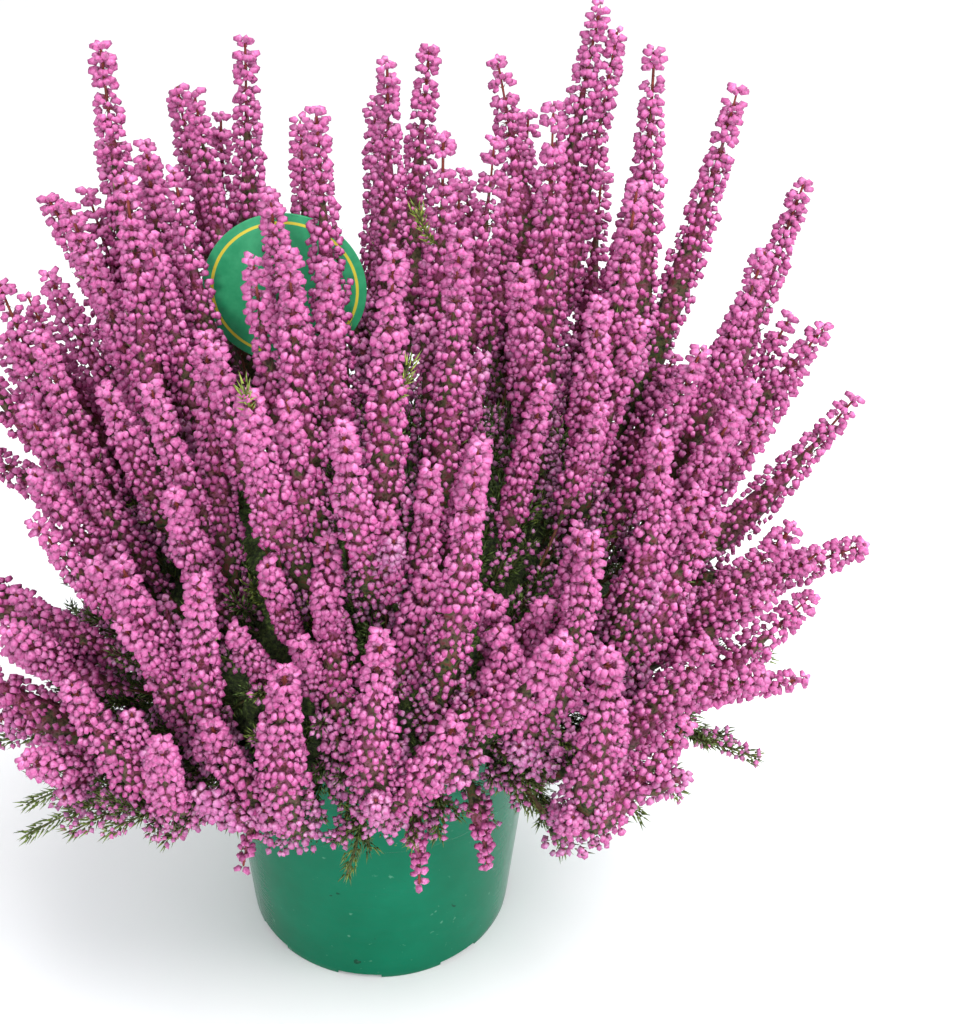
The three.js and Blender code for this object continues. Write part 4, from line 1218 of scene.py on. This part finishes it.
# Leafy stems: limbs from the burl to each spray, and shoots over the rim
burl = {
    "place": np.array([0, 0, 119 * mm]), "radius": 10 * mm, "lowest": 128 * mm, "overRim": 70 * mm,
    "inRim": 58 * mm, "flatLimb": 6 * mm, "underLimb": 26 * mm, "rootDepth": 0.5, "bowAt": 0.6, "steps": 14,
    "rise": 0.25, "leaves": (6, 4.6),
}
shoots = {
    "tips": [(-149, 146, 106), (-160, 146, 128), (-97, 98, 106), (-52, 106, 100), (-29, 152, 134),
             (0, 156, 120), (46, 138, 112), (82, 118, 106), (124, 132, 108), (166, 146, 122)],
    "root": (6, 122), "riseReach": 40, "rimReach": 66, "rimHeight": 127, "curve": 0.06, "sag": 0.4,
    "steps": 18, "twigs": 12, "bloomShare": 0.5, "rise": (0.35, 0.6),
    "leaves": (5, 1.4), "young": (2, 1.5, 0.4), "bells": (6, 4.6),
}
twig = {
    "from": 0.42, "over": 0.5, "length": (12, 22), "side": 0.6, "ahead": 0.75, "lift": (-0.2, 0.5),
    "atFoot": 1.15, "shrink": 0.5, "bow": 0.1, "steps": 4, "girthShare": 0.95, "rise": (0.35, 1),
    "age": (0, 0.3), "bloom": [0, 0, 0.9, 1.5],
}
skirt = {
    "layers": [{"count": 20, "turns": (0, 360), "reach": (94, 126), "height": (104, 132), "twigs": 5},
               {"count": 12, "turns": (7, 367), "reach": (88, 112), "height": (136, 162), "twigs": 4},
               {"count": 11, "turns": (178, 236), "reach": (112, 142), "height": (104, 134), "twigs": 10},
               {"count": 7, "turns": (300, 350), "reach": (106, 134), "height": (106, 134), "twigs": 9}],
    "front": (232, 308), "frontReach": 96, "frontHeight": 118,  # the pot stays in sight there
    "turnStray": 0.35, "cutInside": 4, "bloomShare": 0.75,
}
leafy = {"girth": 4.2 * mm, "stumpGirth": 3.4 * mm, "shootGirth": 3.6 * mm, "dense": 1.4}
leafSettings = {
    "Needle": items["needle"], "Bud": items["bud"], "Whorl pitch": 1.8 * mm, "Needle spacing": 5.0 * mm,
    "Needle lift": 0.8, "Needle size": 1.0, "Bell pitch": 3.2 * mm, "Bell spacing": 4.6 * mm,
    "Bark": looks["shoot"], "Leaf": looks["needle"], "Petal": looks["petal"],
}


def atTurn(radius, turn, height):
    return np.array([radius * math.cos(turn), radius * math.sin(turn), height])


def smoothLine(points, count):
    points = np.array(points)
    steps = np.concatenate([[0], np.cumsum(np.linalg.norm(np.diff(points, axis=0), axis=1))])
    fine = np.linspace(0, steps[-1], count)
    line = np.stack([np.interp(fine, steps, points[:, k]) for k in range(3)], axis=1)
    for _ in range(3):
        line[1:-1] = (line[:-2] + 2 * line[1:-1] + line[2:]) / 4
    return line


def limbLine(bend):
    end = bend[0]
    reach, turn = math.hypot(end[0], end[1]), math.atan2(end[1], end[0])
    way = end - burl["place"]
    start = burl["place"] + way / np.linalg.norm(way) * burl["radius"] * burl["rootDepth"]
    if reach > burl["overRim"] and end[2] < burl["lowest"] + burl["flatLimb"]:
        return smoothLine([start, atTurn(burl["inRim"], turn, burl["lowest"]),
                           atTurn(burl["overRim"], turn, burl["lowest"]), end], burl["steps"])
    between = atTurn(reach * burl["bowAt"], turn, max(burl["lowest"], end[2] - burl["underLimb"]))
    return smoothLine([start, between, end], burl["steps"])


def shootLine(turn, reach, height):
    angle = math.radians(turn)
    rim, up = shoots["rimReach"], shoots["rimHeight"]
    rootReach, rootHeight = shoots["root"]
    between = up + (height - up) * shoots["sag"]
    middle = atTurn((rim + reach) / 2 * mm, angle + shoots["curve"], between * mm)
    return smoothLine([atTurn(rootReach * mm, angle, rootHeight * mm),
                       atTurn(shoots["riseReach"] * mm, angle, burl["lowest"]),
                       atTurn(rim * mm, angle, up * mm), middle, atTurn(reach * mm, angle, height * mm)],
                      shoots["steps"])


# Side twigs that leave a shoot to both sides in turn
def addTwigs(lines, line, count, bloomShare):
    for i in range(count):
        share = twig["from"] + twig["over"] * i / count
        spot = int(share * (len(line) - 1))
        root, ahead = line[spot], line[spot + 1] - line[spot]
        ahead = ahead / np.linalg.norm(ahead)
        side = np.cross(ahead, (0, 0, 1)) * (1 if i % 2 else -1)
        shorter = twig["atFoot"] - twig["shrink"] * share  # towards the shoot's tip
        length = rng.uniform(*twig["length"]) * mm * shorter
        lift = np.array([0, 0, rng.uniform(*twig["lift"])])
        tip = root + (side * twig["side"] + ahead * twig["ahead"] + lift) * length
        bend = np.array([root, (root + tip) / 2 + ahead * length * twig["bow"], tip])
        bloom = twig["bloom"] if rng.random() < bloomShare else 0.0
        rise = np.linspace(*twig["rise"], twig["steps"])
        lines.add([onBend(bend, s) for s in np.linspace(0, 1, twig["steps"])], rise=rise,
                  girth=leafy["shootGirth"] * twig["girthShare"], age=rng.uniform(*twig["age"]),
                  fullness=leafy["dense"], bloom=bloom)


def addShoot(lines, line, twigs, bloomShare):
    shares = np.linspace(0, 1, len(line))
    bloom = climbing(shares, *shoots["bells"]) if rng.random() < bloomShare else 0.0
    foot, climb = shoots["rise"]
    lines.add(line, girth=leafy["shootGirth"], rise=foot + shares * climb,
              age=climbing(shares, *shoots["young"]),
              fullness=climbing(shares, *shoots["leaves"]) * leafy["dense"], bloom=bloom)
    addTwigs(lines, line, twigs, bloomShare)


def makeLimbs():
    lines = Lines()
    for node in bloomNodes:
        line = limbLine(spikesOf[node][0][0])
        shares = np.linspace(0, 1, len(line))
        lines.add(line, girth=leafy["stumpGirth"], rise=shares * burl["rise"], age=0.0,
                  fullness=climbing(shares, *burl["leaves"]))
    for turn, reach, height in shoots["tips"]:
        addShoot(lines, shootLine(turn, reach, height), shoots["twigs"], shoots["bloomShare"])
    core = makeHeart()
    mesh = lines.grown(leafTree, {**leafSettings, "Stem thick": 1.5 * mm, "Stem thin": 0.4 * mm, "Core": core,
                                  "Seed": 11})
    bpy.data.objects.remove(core)
    hand(newObject("leafyBranches", mesh), "heath_green", "leafy_branches")
    sayTriangles(mesh, "branches:")


# Short leafy shoots all round that hang over the rim
def makeSkirt():
    lines = Lines()
    for layer in skirt["layers"]:
        for i in range(layer["count"]):
            first, last = layer["turns"]
            stray = rng.uniform(-skirt["turnStray"], skirt["turnStray"])
            turn = first + (i + stray) * (last - first) / layer["count"]
            reach, height = rng.uniform(*layer["reach"]), rng.uniform(*layer["height"])
            if skirt["front"][0] < turn < skirt["front"][1]:
                reach, height = min(reach, skirt["frontReach"]), max(height, skirt["frontHeight"])
            line = shootLine(turn, reach, height)[skirt["cutInside"]:]
            addShoot(lines, line, layer["twigs"], skirt["bloomShare"])
    mesh = lines.grown(leafTree, {**leafSettings, "Stem thick": 0.7 * mm, "Stem thin": 0.35 * mm, "Seed": 15})
    hand(newObject("rimShoots", mesh), "heath_green")
    sayTriangles(mesh, "rim shoots:")


# Leafy sprigs that stand out of the inner bush, many with faded bells
sprig = {
    "count": 374, "length": (17, 29), "upward": 0.8, "stray": 0.32, "sag": 0.1, "bloomShare": 0.62,
    "freshTips": [(13, -15, 316), (-37, -90, 293), (10, -70, 290)],
    "freshLength": 14 * mm, "freshGirth": 3.2 * mm, "freshAge": 0.95, "freshRise": (0.3, 0.7),
    "freshLeaves": (3, 0, 1.2), "freshFrom": (0.3, 0.95, 14),  # places on a spike where they may root
    "sunk": 5 * mm, "steps": 6, "youngShare": 0.85, "youngAge": (0, 0.14), "paleAge": (0.3, 0.8),
    "rise": (0.1, 0.9), "leaves": (5, 0.6), "bells": (3, 1.4),
}


# Yellow-green new leaf tips that grow out of spikes
def addFreshTips(lines):
    stems = np.concatenate([[onBend(bend, s) for s in np.linspace(*sprig["freshFrom"])]
                            for node in bloomNodes for bend, _ in spikesOf[node]])
    foot, climb = sprig["freshRise"]
    for tip in np.array(sprig["freshTips"]) * mm:
        below = tip - np.array([0, 0, sprig["freshLength"]])
        root = stems[np.linalg.norm(stems - below, axis=1).argmin()]
        steps = np.linspace(0, 1, sprig["steps"])
        bend = np.array([root, (root + below) / 2, tip])
        lines.add([onBend(bend, s) for s in steps], girth=sprig["freshGirth"], rise=foot + climb * steps,
                  age=sprig["freshAge"], fullness=climbing(steps, *sprig["freshLeaves"]))


def makeSprigs():
    halves = {"frontSprigs": Lines(), "backSprigs": Lines()}
    addFreshTips(halves["frontSprigs"])
    foot, climb = sprig["rise"]
    for place, outward in heartSpots(sprig["count"]):
        way = outward + np.array([0, 0, sprig["upward"]]) + rng.normal(0, sprig["stray"], 3)
        way /= np.linalg.norm(way)
        length = rng.uniform(*sprig["length"]) * mm
        root = place - way * sprig["sunk"]
        tip = place + way * length
        middle = (root + tip) / 2 + outward * length * sprig["sag"]
        steps = np.linspace(0, 1, sprig["steps"])
        points = [onBend(np.array([root, middle, tip]), s) for s in steps]
        bloom = climbing(steps, *sprig["bells"]) if rng.random() < sprig["bloomShare"] else 0.0
        age = rng.uniform(*sprig["youngAge" if rng.random() < sprig["youngShare"] else "paleAge"])
        lines = halves["frontSprigs" if place[1] < 0 else "backSprigs"]
        lines.add(points, girth=leafy["girth"], rise=foot + climb * steps, age=age,
                  fullness=climbing(steps, *sprig["leaves"]), bloom=bloom)
    for seed, (name, lines) in enumerate(halves.items()):
        mesh = lines.grown(leafTree, {**leafSettings, "Stem thick": 0.55 * mm, "Stem thin": 0.35 * mm,
                                      "Seed": 21 + seed})
        hand(newObject(name, mesh), "heath_green")
        sayTriangles(mesh, name + ":")


# Lower, younger spikes between the main ones, each on its own leafy stem
filler = {
    "count": 59, "center": np.array([0, 0, 126]), "half": np.array([185, 135, 224]), "spread": (166, 116),
    "shrink": (0.74, 0.88), "length": (44, 66), "apart": 12, "rootShare": 0.5, "rootHeight": 132, "swing": 6,
    "steps": 24, "leastBare": 0.1, "opensOver": 0.3, "girth": np.array([0.9, 1.1, 6.4, 4.4, 4.4, 2]) * mm,
    "ageFrom": (-0.25, 0.1), "agedBelow": 0.6, "ageSlope": 0.6, "oldest": 0.4,
    "clearX": (-60, 6), "clearHeight": 264, "clearSlope": 0.45,  # keeps the label in sight
    "triesEach": 4, "keepOff": (0.4, 0.55, 0.7, 0.85, 1.0),  # shares along the spikes that they keep off
    # tip and length of the ones that close gaps in the photo's side of the bush
    "placed": [
        (79, 25, 360, 125), (-73, 10, 326, 80), (-58, 25, 339, 85), (-95, 20, 307, 85),
        (-62, -10, 325, 85), (-69, -25, 311, 80), (-88, -20, 300, 75), (-24, 20, 331, 85),
        (143, 0, 270, 80), (148, -5, 252, 75), (121, -20, 284, 85), (102, -45, 280, 85),
        (83, -40, 288, 80), (114, -50, 260, 80), (128, -40, 250, 70), (152, -45, 202, 65),
        (102, -65, 240, 70), (131, -65, 199, 60), (51, -60, 276, 70), (149, -60, 158, 55),
        (-37, -88, 280, 60), (-26, -78, 282, 55), (-47, -62, 290, 60), (-35, -60, 318, 80),
        (-14, -58, 315, 75), (16, -80, 259, 60), (52, -88, 214, 45), (36, -98, 196, 40),
        (64, -92, 182, 40), (-117, 10, 273, 85), (-122, -5, 265, 80), (-112, -35, 255, 80),
        (-118, -60, 200, 60), (-98, -50, 253, 75), (-87, -80, 226, 60), (-66, -70, 282, 70),
        (-105, -70, 234, 65), (-121, -70, 187, 55), (-79, -90, 210, 50), (-34, -84, 228, 48),
        (-25, -92, 204, 40), (-45, -88, 206, 44), (-18, -86, 220, 42),
    ],
}


def hidesLabel(tip):
    low, high = filler["clearX"]
    x, y, z = tip
    return low < x < high and y < 0 and z > filler["clearHeight"] - filler["clearSlope"] * y


def fillerTips():
    others = np.concatenate([[onBend(bend, s) for s in filler["keepOff"]]
                             for node in bloomNodes for bend, _ in spikesOf[node]]) / mm
    tips = [np.array(p, dtype=float) for p in filler["placed"]]
    tries, half, center = filler["count"] * filler["triesEach"], filler["half"], filler["center"]
    for i in rng.permutation(tries):
        reach, turn = math.sqrt((i + 0.5) / tries), i * goldenTurn
        x, y = (reach * math.cos(turn) * filler["spread"][0], reach * math.sin(turn) * filler["spread"][1])
        z = center[2] + half[2] * math.sqrt(1 - (x / half[0]) ** 2 - (y / half[1]) ** 2)
        tip = center + (np.array([x, y, z]) - center) * rng.uniform(*filler["shrink"])
        if hidesLabel(tip):
            continue
        taken = np.concatenate([others, np.array(tips)[:, :3]])
        if np.linalg.norm(taken - tip, axis=1).min() > filler["apart"]:
            tips.append(np.array([*tip, rng.uniform(*filler["length"])]))
        if len(tips) >= filler["count"]:
            break
    return tips


def makeFillers():
    lines = Lines()
    steps = np.linspace(0, 1, filler["steps"])
    for x, y, z, length in fillerTips():
        tip = np.array([x, y, z])
        root = np.array([x * filler["rootShare"], y * filler["rootShare"], filler["rootHeight"]])
        outward = np.array([x, y, 0]) / math.hypot(x, y, 1)
        middle = (root + tip) / 2 + outward * filler["swing"] - np.array([0, 0, filler["swing"]])
        bare = max(filler["leastBare"], 1 - length / np.linalg.norm(tip - root))
        opened = bare + (1 - bare) * filler["opensOver"]
        age = rng.uniform(*filler["ageFrom"]) + (filler["agedBelow"] - steps) * filler["ageSlope"]
        lines.add([onBend(np.array([root, middle, tip]) * mm, s) for s in steps],
                  girth=np.interp(steps, [0, bare, opened, 0.92, 0.97, 1], filler["girth"]),
                  rise=np.interp(steps, [0, bare, 1], [0.1, 0.3, 1]), age=np.clip(age, 0, filler["oldest"]),
                  fullness=np.interp(steps, [0, bare * 0.9, opened, 0.9, 1], [0, 0, 0.95, 1.1, 1.3]),
                  leafy=np.interp(steps, [0, bare * 0.5, bare, opened, 1], [0, 1.8, 1.8, 0.2, 0]))
    mesh = lines.grown(bloomTree, {**bloomSettings, "Stem thick": 0.6 * mm, "Seed": 71})
    hand(newObject("innerBlooms", mesh), "heath_pink")
    sayTriangles(mesh, "fill-in spikes:")


makeSprays()
makeLimbs()
makeSkirt()
makeSprigs()
makeFillers()

for item in items.values():
    bpy.data.objects.remove(item)

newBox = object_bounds()
print("size:", [tuple(round(v / mm, 1) for v in c) for c in (*cadBox, *newBox)])
